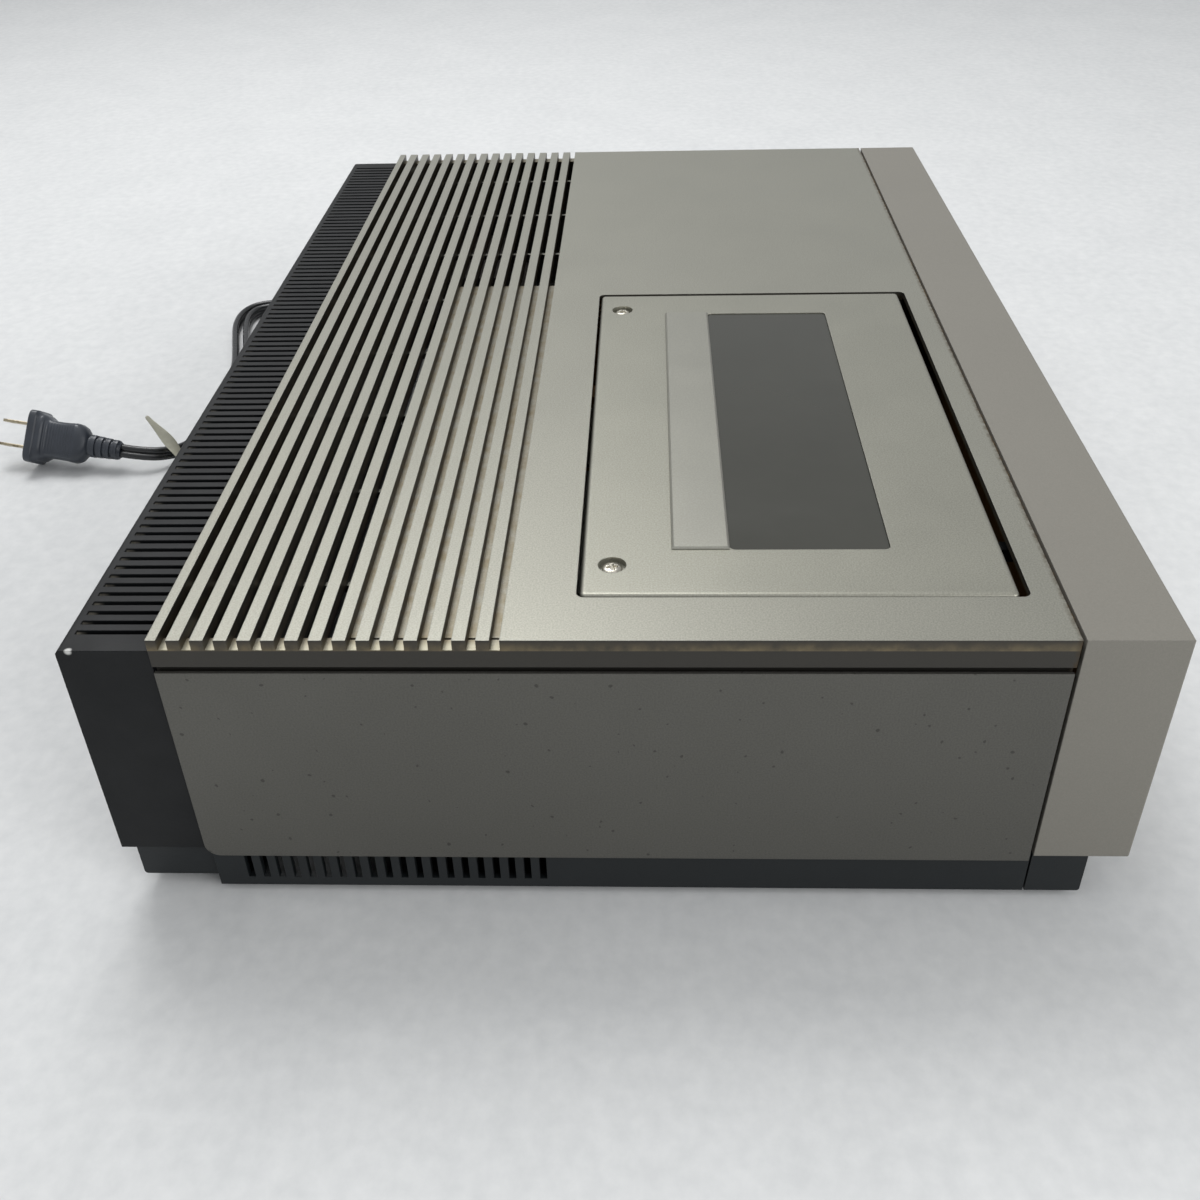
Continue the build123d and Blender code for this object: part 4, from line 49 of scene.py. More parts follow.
# ---------------------------------------------------------------- colour, nodes and patterns
def linear(code: str) -> tuple[float, float, float, float]:
    """Turns an sRGB hex colour into the linear values that a shader takes.

    Args:
        code: the colour as "#rrggbb".

    Returns:
        Red, green and blue as linear values, and an alpha of 1.
    """
    parts = [int(code[place:place + 2], 16) / 255 for place in (1, 3, 5)]
    low = [part / 12.92 if part <= 0.04045 else ((part + 0.055) / 1.055) ** 2.4 for part in parts]
    return low[0], low[1], low[2], 1.0


def add_node(tree: bpy.types.NodeTree, kind: str, settings: dict | None = None,
             inputs: dict | None = None) -> bpy.types.Node:
    """Adds a node with its settings, its values and its links.

    Args:
        tree: the node tree that gets the node.
        kind: Blender's name for the node.
        settings: properties of the node.
        inputs: for each input, by name or place, a value or the socket that feeds it.

    Returns:
        The new node.
    """
    node = tree.nodes.new(kind)
    for name, value in (settings or {}).items():
        setattr(node, name, value)
    for key, value in (inputs or {}).items():
        if isinstance(value, bpy.types.NodeSocket):
            tree.links.new(value, node.inputs[key])
        else:
            node.inputs[key].default_value = value
    return node


@dataclass
class Wiring:
    """A material's node tree while a finish is wired up in it."""

    material: bpy.types.Material
    tree: bpy.types.NodeTree = field(init=False)
    shader: bpy.types.Node = field(init=False)
    place: bpy.types.NodeSocket = field(init=False)

    def __post_init__(self) -> None:
        """Finds the shader and adds the object coordinates that every pattern reads."""
        self.material.use_nodes = True
        self.tree = self.material.node_tree
        self.shader = self.tree.nodes["Principled BSDF"]
        self.place = add_node(self.tree, "ShaderNodeTexCoord").outputs["Object"]

    def blotches(self, size_mm: float, low: float, high: float, detail: float = 2.0,
                 stretch: tuple[float, float, float] = (1, 1, 1), turn: float = 0.0,
                 window: tuple[float, float] = (0.3, 0.7)) -> bpy.types.NodeSocket:
        """A wandering value between two limits, from noise of a given size.

        Args:
            size_mm: the size of the noise's features.
            low: the value in the noise's hollows.
            high: the value on its peaks.
            detail: octaves of finer noise on top.
            stretch: how often the pattern repeats along each axis, against the others.
            turn: turn of the pattern about Z, in degrees.
            window: the part of the noise that is spread from low to high.

        Returns:
            The value's socket.
        """
        mapped = add_node(self.tree, "ShaderNodeMapping", inputs={
            "Vector": self.place, "Scale": stretch, "Rotation": (0, 0, math.radians(turn))})
        noise = add_node(self.tree, "ShaderNodeTexNoise", inputs={
            "Vector": mapped.outputs[0], "Scale": 1000 / size_mm, "Detail": detail, "Roughness": 0.55})
        return self.spread(noise.outputs[0], window, (low, high))

    def spread(self, value: bpy.types.NodeSocket, window: tuple[float, float],
               limits: tuple[float, float]) -> bpy.types.NodeSocket:
        """Spreads one range of a value over another and holds it inside."""
        return add_node(self.tree, "ShaderNodeMapRange", inputs={
            "Value": value, "From Min": window[0], "From Max": window[1],
            "To Min": limits[0], "To Max": limits[1]}).outputs[0]

    def combine(self, how: str, first: bpy.types.NodeSocket | float,
                second: bpy.types.NodeSocket | float) -> bpy.types.NodeSocket:
        """Combines two values with a sum, a product or the like."""
        return add_node(self.tree, "ShaderNodeMath", {"operation": how, "use_clamp": False},
                        {0: first, 1: second}).outputs[0]

    def paint(self, under: bpy.types.NodeSocket | tuple, over: bpy.types.NodeSocket | tuple,
              share: bpy.types.NodeSocket | float, how: str = "MIX") -> bpy.types.NodeSocket:
        """Lays one colour over another, by a share from 0 to 1."""
        mix = add_node(self.tree, "ShaderNodeMix",
                       {"data_type": "RGBA", "blend_type": how, "clamp_factor": True},
                       {0: share, 6: under, 7: over})
        return mix.outputs[2]

    def axis(self, letter: str) -> bpy.types.NodeSocket:
        """One coordinate of the piece, in metres."""
        return add_node(self.tree, "ShaderNodeSeparateXYZ", inputs={0: self.place}).outputs[letter]

    def upright(self) -> bpy.types.NodeSocket:
        """How far the surface's own direction points up, from -1 to 1."""
        normal = add_node(self.tree, "ShaderNodeNewGeometry").outputs["True Normal"]
        return add_node(self.tree, "ShaderNodeSeparateXYZ", inputs={0: normal}).outputs["Z"]


class Grain(Enum):
    """How a surface was made, which sets its finest pattern."""

    SPRAYED = "sprayed"
    MOULDED = "moulded"
    BRUSHED = "brushed"
    TURNED = "turned"
    PLATED = "plated"
    LAYERED = "layered"


# ---------------------------------------------------------------- finishes
@dataclass(frozen=True)
class Finish:
    """A material's look: its colour, gloss, grain and how unevenly it has aged."""

    name: str
    colour: str
    roughness: float
    grain: Grain = Grain.MOULDED
    grain_mm: float = 0.7
    grain_depth_mm: float = 0.02
    metallic: float = 0.0
    ior: float = 1.5
    coat: float = 0.0
    shade: float = 0.06
    patch_mm: float = 45.0
    fleck: float = 0.06
    roughness_spread: float = 0.06
    edge_mm: float = 0.0
    centre: tuple[float, float, float] = (0.0, 0.0, 0.0)

    def fine(self, wiring: Wiring) -> bpy.types.NodeSocket:
        """The finest pattern, from 0 to 1, at the grain's real size."""
        tree = wiring.tree
        if self.grain is Grain.TURNED:
            # lathe lines: rings about the piece's own axis
            moved = add_node(tree, "ShaderNodeMapping", inputs={
                "Vector": wiring.place, "Location": tuple(-value for value in self.centre)})
            return add_node(tree, "ShaderNodeTexWave", {"wave_type": "RINGS", "rings_direction": "Z"}, {
                "Vector": moved.outputs[0], "Scale": 50 / self.grain_mm, "Distortion": 0.6,
                "Detail": 3.0}).outputs["Fac"]
        if self.grain is Grain.PLATED:
            # zinc spangle: small flat crystals
            return add_node(tree, "ShaderNodeTexVoronoi", {"feature": "F1"}, {
                "Vector": wiring.place, "Scale": 1000 / self.grain_mm}).outputs["Distance"]
        if self.grain is Grain.LAYERED:
            # stacked sheets seen on their edges
            return add_node(tree, "ShaderNodeTexWave", {"wave_type": "BANDS", "bands_direction": "X"}, {
                "Vector": wiring.place, "Scale": 50 / self.grain_mm, "Distortion": 0.1}).outputs["Fac"]
        stretch = (0.03, 1, 1) if self.grain is Grain.BRUSHED else (1, 1, 1)
        detail = 1.0 if self.grain is Grain.SPRAYED else 3.0
        return wiring.blotches(self.grain_mm, 0, 1, detail, stretch, window=(0.28, 0.72))

    def tint(self, wiring: Wiring, fine: bpy.types.NodeSocket) -> bpy.types.NodeSocket:
        """The colour, lighter and darker in patches and from grain to grain."""
        patch = wiring.blotches(self.patch_mm, 1 - self.shade, 1 + self.shade, 4.0)
        speck = wiring.spread(fine, (0, 1), (1 - self.fleck, 1 + self.fleck))
        value = wiring.combine("MULTIPLY", patch, speck)
        return add_node(wiring.tree, "ShaderNodeVectorMath", {"operation": "SCALE"},
                        {0: linear(self.colour)[:3], "Scale": value}).outputs[0]

    def sheen(self, wiring: Wiring) -> bpy.types.NodeSocket:
        """The roughness, polished in some patches and dulled in others."""
        low, high = self.roughness - self.roughness_spread, self.roughness + self.roughness_spread
        return wiring.blotches(self.patch_mm * 0.4, max(low, 0.03), high, 5.0)

    def build(self) -> bpy.types.Material:
        """Wires the whole material."""
        wiring = Wiring(bpy.data.materials.new(self.name))
        shader, tree = wiring.shader, wiring.tree
        fine = self.fine(wiring)
        tree.links.new(self.tint(wiring, fine), shader.inputs["Base Color"])
        tree.links.new(self.sheen(wiring), shader.inputs["Roughness"])
        shader.inputs["Metallic"].default_value = self.metallic
        if self.metallic < 0.5:
            shader.inputs["IOR"].default_value = self.ior
        shader.inputs["Coat Weight"].default_value = self.coat
        shader.inputs["Coat Roughness"].default_value = 0.12
        relief = {"Strength": 1.0, "Distance": self.grain_depth_mm * MM, "Height": fine}
        if self.edge_mm:
            relief["Normal"] = add_node(tree, "ShaderNodeBevel", {"samples": 4},
                                        {"Radius": self.edge_mm * MM}).outputs[0]
        bump = add_node(tree, "ShaderNodeBump", inputs=relief)
        tree.links.new(bump.outputs[0], shader.inputs["Normal"])
        return wiring.material


@dataclass(frozen=True)
class SprayedCover(Finish):
    """The ribbed cover's metallic lacquer, with painted shade on its upright faces, dust in its grooves and
    along its seams.
    """

    # painted shade: the dark colour that upright faces are mixed towards, standing in for the dim light they
    # reflect
    upright_painted_shade_colour: str = "#413f3b"
    dust_colour: str = "#7d7158"
    pale_dust: str = "#a9a592"
    groove_top: float = 110.2 * MM
    groove_floor: float = 107.0 * MM
    side: float = -240.0 * MM
    front: float = -135.3 * MM

    def tint(self, wiring: Wiring, fine: bpy.types.NodeSocket) -> bpy.types.NodeSocket:
        """The lacquer, darkened on upright faces as painted shade, dusty in the grooves."""
        base = Finish.tint(self, wiring, fine)
        facing_up = wiring.upright()
        # painted shade: the more upright a face, the more it is mixed towards the dark colour
        thin = wiring.spread(facing_up, (0.35, 0.9), (1, 0))
        colour = wiring.paint(base, linear(self.upright_painted_shade_colour), thin)
        height = wiring.axis("Z")
        low = wiring.combine("MULTIPLY", wiring.spread(height, (self.groove_top, self.groove_floor), (0, 1)),
                             wiring.spread(height, (self.groove_floor - 0.5 * MM,
                                                    self.groove_floor - 0.3 * MM), (0, 1)))
        patch = wiring.blotches(5.0, 0.15, 0.9, 5.0)
        dust = wiring.combine("MULTIPLY", low, patch)
        colour = wiring.paint(colour, linear(self.dust_colour), dust)
        # the mouths of the grooves, where wiping has pushed pale dust against the edge
        mouth = wiring.spread(wiring.axis("X"), (self.side + 5 * MM, self.side + 2 * MM), (0, 0.8))
        floor = wiring.combine("MULTIPLY", low, wiring.spread(facing_up, (0.5, 0.9), (0, 1)))
        colour = wiring.paint(colour, linear(self.pale_dust), wiring.combine("MULTIPLY", mouth, floor))
        # grime close to the front seam
        seam = wiring.spread(wiring.axis("Y"), (self.front + 1.6 * MM, self.front), (0, 1))
        grime = wiring.combine("MULTIPLY", seam, wiring.blotches(2.5, 0.0, 1.0, 4.0))
        return wiring.paint(colour, linear("#4a3a22"), grime)


@dataclass(frozen=True)
class ScratchedPanel(Finish):
    """Lacquered sheet with a few fine bright scratches and small dark marks."""

    scratch_colour: str = "#9a968c"

    def tint(self, wiring: Wiring, fine: bpy.types.NodeSocket) -> bpy.types.NodeSocket:
        """The lacquer, with scratches from noise that is drawn out along two directions."""
        colour = Finish.tint(self, wiring, fine)
        for turn, threshold in ((24.0, 0.80), (-52.0, 0.81)):
            line = wiring.blotches(0.9, 0, 1, 1.0, (1.0, 0.03, 0.035), turn, (threshold, threshold + 0.02))
            colour = wiring.paint(colour, linear(self.scratch_colour), line)
        speck = wiring.blotches(2.2, 0, 0.55, 0.0, window=(0.80, 0.83))
        return wiring.paint(colour, linear("#2b2926"), speck)


@dataclass(frozen=True)
class SmokedAcrylic(Finish):
    """A smoked window with finger smudges."""

    def sheen(self, wiring: Wiring) -> bpy.types.NodeSocket:
        """Glossy, dulled in swirls where fingers have wiped it."""
        swirl = wiring.blotches(26.0, 0, 1, 6.0, (1, 0.5, 1), 35.0, (0.42, 0.72))
        return wiring.spread(swirl, (0, 1), (self.roughness, self.roughness + 0.13))


@dataclass(frozen=True)
class SlottedHood(Finish):
    """The black rear cover: pale dust at the ends of its slots, one nick."""

    slot_rear: float = 161.2 * MM
    rim: float = 105.4 * MM
    nick: tuple[float, float, float] = (-238.7 * MM, 163.4 * MM, 105.5 * MM)

    def tint(self, wiring: Wiring, fine: bpy.types.NodeSocket) -> bpy.types.NodeSocket:
        """The plastic's colour with its dust and the nick near the corner."""
        colour = Finish.tint(self, wiring, fine)
        below = wiring.spread(wiring.axis("Z"), (self.rim, self.rim - 0.6 * MM), (0, 1))
        end = wiring.spread(wiring.axis("Y"), (self.slot_rear, self.slot_rear + 2.6 * MM), (0, 1))
        inside = wiring.spread(wiring.axis("Y"), (166.6 * MM, 166.0 * MM), (0, 1))
        across = wiring.combine("ABSOLUTE", wiring.axis("X"), 0.0)
        inside = wiring.combine("MULTIPLY", inside, wiring.spread(across, (237.5 * MM, 236.5 * MM), (0, 1)))
        dust = wiring.combine("MULTIPLY", wiring.combine("MULTIPLY", below, end), inside)
        dust = wiring.combine("MULTIPLY", dust, wiring.blotches(3.0, 0.15, 0.95, 3.0))
        colour = wiring.paint(colour, linear("#9b968a"), dust)
        away = add_node(wiring.tree, "ShaderNodeVectorMath", {"operation": "DISTANCE"},
                        {0: wiring.place, 1: self.nick}).outputs["Value"]
        return wiring.paint(colour, linear("#c9c9c6"), wiring.spread(away, (1.4 * MM, 0.7 * MM), (0, 1)))


@dataclass(frozen=True)
class TarnishedPlate(Finish):
    """Nickel on brass that has worn and browned in spots."""

    def tint(self, wiring: Wiring, fine: bpy.types.NodeSocket) -> bpy.types.NodeSocket:
        """Plate with brown spots of tarnish."""
        spots = wiring.blotches(3.0, 0, 0.8, 3.0, window=(0.52, 0.66))
        return wiring.paint(Finish.tint(self, wiring, fine), linear("#6b5c3e"), spots)


# Metallic lacquer on moulded plastic: fine flakes that glitter close up and a soft broad highlight.
COVER_LACQUER = SprayedCover("metallic lacquer on the cover", "#96958b", 0.42, Grain.SPRAYED, 0.55, 0.012,
                             metallic=0.70, roughness_spread=0.02, fleck=0.13, shade=0.02, patch_mm=90,
                             edge_mm=0.35)
LID_LACQUER = Finish("metallic lacquer on the lid", "#9b9a8f", 0.40, Grain.SPRAYED, 0.55, 0.012,
                     metallic=0.80, roughness_spread=0.02, fleck=0.13, shade=0.03, patch_mm=60, edge_mm=0.4)
STRIP_LACQUER = Finish("metallic lacquer on the strip", "#9c9b92", 0.39, Grain.SPRAYED, 0.6, 0.008,
                       metallic=0.80, roughness_spread=0.02, fleck=0.07, shade=0.02, patch_mm=60,
                       edge_mm=0.4)
# Darker, warmer lacquer on the side panels: satin, with handling scratches.
PANEL_LACQUER = ScratchedPanel("taupe lacquer on sheet", "#5e5d58", 0.46, Grain.SPRAYED, 0.6, 0.012,
                               metallic=0.55, fleck=0.10, shade=0.04, patch_mm=80, edge_mm=0.5)
# Pale silver lacquer on the front: finer flake, nearly matt.
FRONT_LACQUER = Finish("silver lacquer on the front", "#827f77", 0.55, Grain.SPRAYED, 0.45, 0.006,
                       metallic=0.25, roughness_spread=0.02, fleck=0.05, shade=0.02, patch_mm=80,
                       edge_mm=0.45)
# Moulded ABS, blue-black, with a spark-eroded satin texture.
HOOD_PLASTIC = SlottedHood("blue-black ABS hood", "#0b0d0f", 0.54, ior=1.35, grain_mm=0.8,
                           grain_depth_mm=0.012, shade=0.08, fleck=0.10, edge_mm=0.5)
BASE_PLASTIC = Finish("blue-black ABS base", "#171b1d", 0.45, ior=1.4, grain_mm=0.8, grain_depth_mm=0.012,
                      shade=0.10, fleck=0.10, edge_mm=0.4)
KEY_PLASTIC = Finish("black ABS keys", "#1b1c1d", 0.34, grain_mm=0.5, grain_depth_mm=0.006,
                     shade=0.05, edge_mm=0.4)
WINDOW_ACRYLIC = SmokedAcrylic("smoked acrylic window", "#3a3a34", 0.13, grain_mm=8.0,
                               grain_depth_mm=0.003, ior=1.49, shade=0.05, fleck=0.02)
FOOT_RUBBER = Finish("moulded foot rubber", "#1a1a1a", 0.75, grain_mm=0.9, grain_depth_mm=0.03)
ROLLER_RUBBER = Finish("ground pinch rubber", "#161616", 0.6, grain_mm=0.5, grain_depth_mm=0.01)
ZINC_SHEET = Finish("zinc plated steel sheet", "#c3c2b8", 0.34, Grain.PLATED, 5.0, 0.004, metallic=1.0,
                    shade=0.08, fleck=0.05, edge_mm=0.25)
GROUND_STEEL = Finish("ground steel", "#c9c9ca", 0.22, Grain.BRUSHED, 0.4, 0.003, metallic=1.0)
SPRING_STEEL = Finish("oiled spring steel", "#7c7c80", 0.3, Grain.BRUSHED, 0.3, 0.002, metallic=1.0)
SCREW_NICKEL = Finish("nickel plated screws", "#bdb9ad", 0.28, Grain.PLATED, 1.2, 0.006, metallic=1.0,
                      shade=0.12, patch_mm=3.0, edge_mm=0.12)
NYLON = Finish("moulded nylon", "#cfcabb", 0.5, grain_mm=1.2, grain_depth_mm=0.01, ior=1.53)
REEL_NYLON = Finish("black acetal reel tables", "#2c2d2f", 0.38, grain_mm=1.0, grain_depth_mm=0.008)
DRUM_ALUMINIUM = Finish("turned aluminium drum", "#d2d3d4", 0.2, Grain.TURNED, 0.6, 0.002, metallic=1.0,
                        shade=0.02, fleck=0.03, centre=(-99.4 * MM, 47.3 * MM, 66 * MM))
FLYWHEEL_BRASS = Finish("turned brass flywheel", "#b79a5c", 0.3, Grain.TURNED, 0.9, 0.004, metallic=1.0,
                        shade=0.05, centre=(-29.4 * MM, 6.3 * MM, 40 * MM))
MOTOR_CAN = Finish("passivated motor can", "#6f6d62", 0.4, Grain.BRUSHED, 0.8, 0.006, metallic=0.9)
HEAD_METAL = Finish("lapped head shell", "#b9b6ac", 0.25, Grain.BRUSHED, 0.4, 0.003, metallic=1.0)
CORE_STEEL = Finish("varnished laminations", "#4b4640", 0.42, Grain.LAYERED, 1.0, 0.06, metallic=0.5,
                    shade=0.10)
LAMINATE = Finish("paper laminate board", "#7c5a2e", 0.45, Grain.BRUSHED, 1.0, 0.01, shade=0.08)
TINNED_CAN = Finish("tinned tuner can", "#b4b5b3", 0.3, Grain.PLATED, 7.0, 0.004, metallic=1.0, shade=0.08)
JACK_PLASTIC = Finish("black phenolic jack plate", "#242526", 0.45, grain_mm=0.9, grain_depth_mm=0.01)
# Soft vinyl on the cord and plug: black, with an oily highlight.
CORD_VINYL = Finish("black vinyl cord", "#17191b", 0.30, grain_mm=1.5, grain_depth_mm=0.012, shade=0.10,
                    patch_mm=15, ior=1.53, coat=0.15)
PLUG_VINYL = Finish("moulded vinyl plug", "#333840", 0.36, grain_mm=0.9, grain_depth_mm=0.012, shade=0.14,
                    patch_mm=9, ior=1.53)
TIE_VINYL = Finish("pale vinyl tie", "#bdbbaa", 0.5, grain_mm=1.8, grain_depth_mm=0.015, shade=0.05,
                   patch_mm=9)
BLADE_PLATE = TarnishedPlate("worn nickel on brass", "#b8ad95", 0.3, Grain.BRUSHED, 0.5, 0.004,
                             metallic=1.0, shade=0.08)
# Settled house dust, felted and brown.
SEAM_DUST = Finish("settled dust in the seam", "#5b4a30", 0.9, grain_mm=0.8, grain_depth_mm=0.2, shade=0.35,
                   patch_mm=6, fleck=0.3)

CARRIED_OVER: dict[Finish, tuple[str, ...]] = {
    COVER_LACQUER: ("top_cover",),
    LID_LACQUER: ("cassette_lid",),
    STRIP_LACQUER: ("lid_trim_strip",),
    PANEL_LACQUER: ("left_side_panel", "right_side_panel"),
    FRONT_LACQUER: ("front_bezel", "control_door"),
    HOOD_PLASTIC: ("rear_cover",),
    BASE_PLASTIC: ("rear_base", "base_tray", "front_plinth"),
    WINDOW_ACRYLIC: ("lid_window", "display_window"),
    FOOT_RUBBER: ("rubber_feet",),
    KEY_PLASTIC: ("power_button", "eject_button", "play_button", "stop_button", "rewind_button",
                  "fast_forward_button", "pause_button", "record_button", "channel_up_button",
                  "channel_down_button", "tracking_knob", "speed_switch", "control_tray"),
    ZINC_SHEET: ("cassette_holder", "hinge_brackets", "deck_plate", "pinch_arm", "tension_arm"),
    GROUND_STEEL: ("deck_posts", "capstan_shaft", "supply_loading_arm",
                   "take_up_loading_arm"),
    SPRING_STEEL: ("lid_springs",),
    NYLON: ("lid_latch",),
    REEL_NYLON: ("supply_reel_table", "take_up_reel_table"),
    DRUM_ALUMINIUM: ("lower_drum", "upper_drum"),
    FLYWHEEL_BRASS: ("flywheel",),
    MOTOR_CAN: ("capstan_motor",),
    ROLLER_RUBBER: ("pinch_roller",),
    HEAD_METAL: ("tape_heads",),
    CORE_STEEL: ("power_transformer",),
    LAMINATE: ("main_board", "display_board"),
    TINNED_CAN: ("tuner_box",),
    JACK_PLASTIC: ("jack_panel",),
}


# ---------------------------------------------------------------- surfaces from arrays
@dataclass
class Shell:
    """A closed surface as plain arrays: points in millimetres and faces as lists of corners."""

    points: np.ndarray
    faces: list[list[int]]

    @classmethod
    def from_rings(cls, rings: np.ndarray) -> "Shell":
        """Joins a row of rings into a closed tube with a fan of triangles at each end.

        Args:
            rings: stations x corners x 3. Ring i meets ring i + 1 in quads, corner by corner.

        Returns:
            The shell, with its faces turned outwards.
        """
        rows, columns = rings.shape[:2]
        row, column = np.meshgrid(np.arange(rows - 1), np.arange(columns), indexing="ij")
        after = (column + 1) % columns
        quads = np.stack([row * columns + column, row * columns + after,
                          (row + 1) * columns + after, (row + 1) * columns + column], -1).reshape(-1, 4)
        points = np.concatenate([rings.reshape(-1, 3), rings[0].mean(0)[None], rings[-1].mean(0)[None]])
        around = np.arange(columns)
        first = np.stack([np.full(columns, rows * columns), (around + 1) % columns, around], -1)
        base = (rows - 1) * columns
        last = np.stack([np.full(columns, rows * columns + 1), base + around,
                         base + (around + 1) % columns], -1)
        triangles = np.concatenate([quads[:, [0, 1, 2]], quads[:, [0, 2, 3]], first, last])
        corners = points[triangles]
        volume = np.einsum("ij,ij->", corners[:, 0], np.cross(corners[:, 1], corners[:, 2]))
        faces = quads.tolist() + first.tolist() + last.tolist()
        if volume < 0:
            faces = [face[::-1] for face in faces]
        return cls(points, faces)

    @classmethod
    def from_loops(cls, loops: np.ndarray) -> "Shell":
        """Joins a row of closed loops in a ring, the last back to the first, like a flat link.

        Args:
            loops: stations x corners x 3. Loop i meets loop i + 1 in quads, corner by corner.

        Returns:
            The shell, with its faces turned outwards.
        """
        rows, columns = loops.shape[:2]
        row, column = np.meshgrid(np.arange(rows), np.arange(columns), indexing="ij")
        after, below = (column + 1) % columns, (row + 1) % rows
        quads = np.stack([row * columns + column, row * columns + after, below * columns + after,
                          below * columns + column], -1).reshape(-1, 4)
        points = loops.reshape(-1, 3)
        corners = points[quads[:, :3]]
        volume = np.einsum("ij,ij->", corners[:, 0], np.cross(corners[:, 1], corners[:, 2]))
        faces = quads.tolist()
        return cls(points, faces if volume > 0 else [face[::-1] for face in faces])

    def __add__(self, other: "Shell") -> "Shell":
        """Both shells as one surface."""
        shift = len(self.points)
        moved = [[corner + shift for corner in face] for face in other.faces]
        return Shell(np.concatenate([self.points, other.points]), self.faces + moved)

    def placed(self, axes: np.ndarray, origin: np.ndarray) -> "Shell":
        """The shell with its own X, Y and Z laid along the rows of axes, from origin."""
        return Shell(self.points @ axes + origin, self.faces)

    def piece(self, name: str, finish: Finish, body: str, sharp: float = 40.0) -> bpy.types.Object:
        """Makes the shell an object that rides on a body.

        Args:
            name: the object's name.
            finish: its finish.
            body: the body it moves with.
            sharp: edges that turn by more than this many degrees stay sharp.

        Returns:
            The new object, at the origin, with its place in its mesh.
        """
        mesh = bpy.data.meshes.new(name)
        mesh.from_pydata((self.points * MM).tolist(), [], self.faces)
        mesh.shade_smooth()
        mesh.set_sharp_from_angle(angle=math.radians(sharp))
        mesh.materials.append(Workshop.material(finish))
        mesh.update()
        obj = bpy.data.objects.new(name, mesh)
        bpy.context.scene.collection.objects.link(obj)
        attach(obj, body)
        LOG.info("piece %s: %d faces on %s", name, len(self.faces), body)
        return obj


@dataclass
class Workshop:
    """Keeps one material for each finish and dresses the solids that are carried over."""

    made: ClassVar[dict[str, bpy.types.Material]] = {}

    @classmethod
    def material(cls, finish: Finish) -> bpy.types.Material:
        """The finish's material, built the first time that it is asked for."""
        if finish.name not in cls.made:
            cls.made[finish.name] = finish.build()
        return cls.made[finish.name]

    @classmethod
    def dress_solids(cls) -> None:
        """Gives every solid that is carried over its procedural material."""
        for finish, names in CARRIED_OVER.items():
            for name in names:
                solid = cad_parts[name]
                solid.data.materials.clear()
                solid.data.materials.append(cls.material(finish))
            LOG.info("finish %s on %s", finish.name, ", ".join(names))


def smooth(value: np.ndarray, low: float, high: float) -> np.ndarray:
    """A soft step: 0 below low, 1 above high, and an S-shaped rise between them."""
    share = np.clip((value - low) / (high - low), 0, 1)
    return share * share * (3 - 2 * share)


def turned(profile: list[tuple[float, float]], corners: int = 48) -> Shell:
    """A turned shape: every (radius, height) of the profile swept once round Z."""
    line = np.array(profile)
    angle = np.linspace(0, 2 * math.pi, corners, endpoint=False)
    rings = np.stack([line[:, :1] * np.cos(angle), line[:, :1] * np.sin(angle),
                      np.repeat(line[:, 1:], corners, 1)], -1)
    return Shell.from_rings(rings)


# ---------------------------------------------------------------- screws
@dataclass
class CrossScrews:
    """Pan-head screws with a cross recess, as one piece of several shells."""

    name: str
    replaced: str
    body: str
    places: tuple[tuple[float, float], ...]
    seat: float
    head_radius: float
    head_height: float
    shank_radius: float
    length: float
    up: bool = True
    arm: float = 0.62
    turns: tuple[float, ...] = (12.0, -31.0, 40.0, 5.0)

    def shell(self) -> Shell:
        """One screw: the head's height falls as the fourth power of the radius, less the cross recess.

        The recess is a soft-sided cross whose depth fades towards the ends of its arms.
        """
        radius = np.concatenate([np.linspace(0.03, 0.97, 30), [1.0]]) * self.head_radius
        angle = np.linspace(0, 2 * math.pi, 96, endpoint=False)
        spread, around = np.meshgrid(radius, angle, indexing="ij")
        x, y = spread * np.cos(around), spread * np.sin(around)
        dome = self.head_height * (1 - 0.45 * (spread / self.head_radius) ** 4)
        near, far = np.minimum(abs(x), abs(y)), np.maximum(abs(x), abs(y))
        half = 0.13 * self.head_radius
        cross = 1 - smooth(near, half, half * 1.7)
        reach = 1 - smooth(far, self.arm * self.head_radius * 0.7, self.arm * self.head_radius)
        top = np.stack([x, y, dome - cross * reach * self.head_height * 0.62], -1)
        sides = [(self.head_radius, self.head_height * 0.45), (self.head_radius * 0.98, 0.0),
                 (self.shank_radius, 0.0), (self.shank_radius, -self.length + 1),
                 (self.shank_radius * 0.3, -self.length)]
        rest = [np.stack([r * np.cos(angle), r * np.sin(angle), np.full(96, z)], -1) for r, z in sides]
        return Shell.from_rings(np.concatenate([top, np.array(rest)]))

    def build(self) -> bpy.types.Object:
        """Places one shell at each screw's seat and hides the plain solids."""
        whole = None
        for (x, y), turn in zip(self.places, self.turns):
            c, s = math.cos(math.radians(turn)), math.sin(math.radians(turn))
            axes = np.array([[c, s, 0], [-s, c, 0], [0, 0, 1.0]])
            if not self.up:
                axes = np.array([[c, s, 0], [s, -c, 0], [0, 0, -1.0]])
            screw = self.shell().placed(axes, np.array([x, y, self.seat]))
            whole = screw if whole is None else whole + screw
        piece = whole.piece(self.name, SCREW_NICKEL, self.body, 50)
        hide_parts(self.replaced)
        return piece


LID_SCREWS = CrossScrews("lid_cross_screws", "lid_screws", "lid", ((-200.6, 1.1), (1.8, 1.1)), seat=108.3,
                         head_radius=3.25, head_height=1.6, shank_radius=1.45, length=7.0)
CASE_SCREWS = CrossScrews("case_cross_screws", "case_screws", "casing",
                          ((-227, -125.3), (227, -125.3), (-227, 126.6), (227, 126.6)), seat=3.2,
                          head_radius=3.4, head_height=1.6, shank_radius=1.65, length=13.9, up=False)


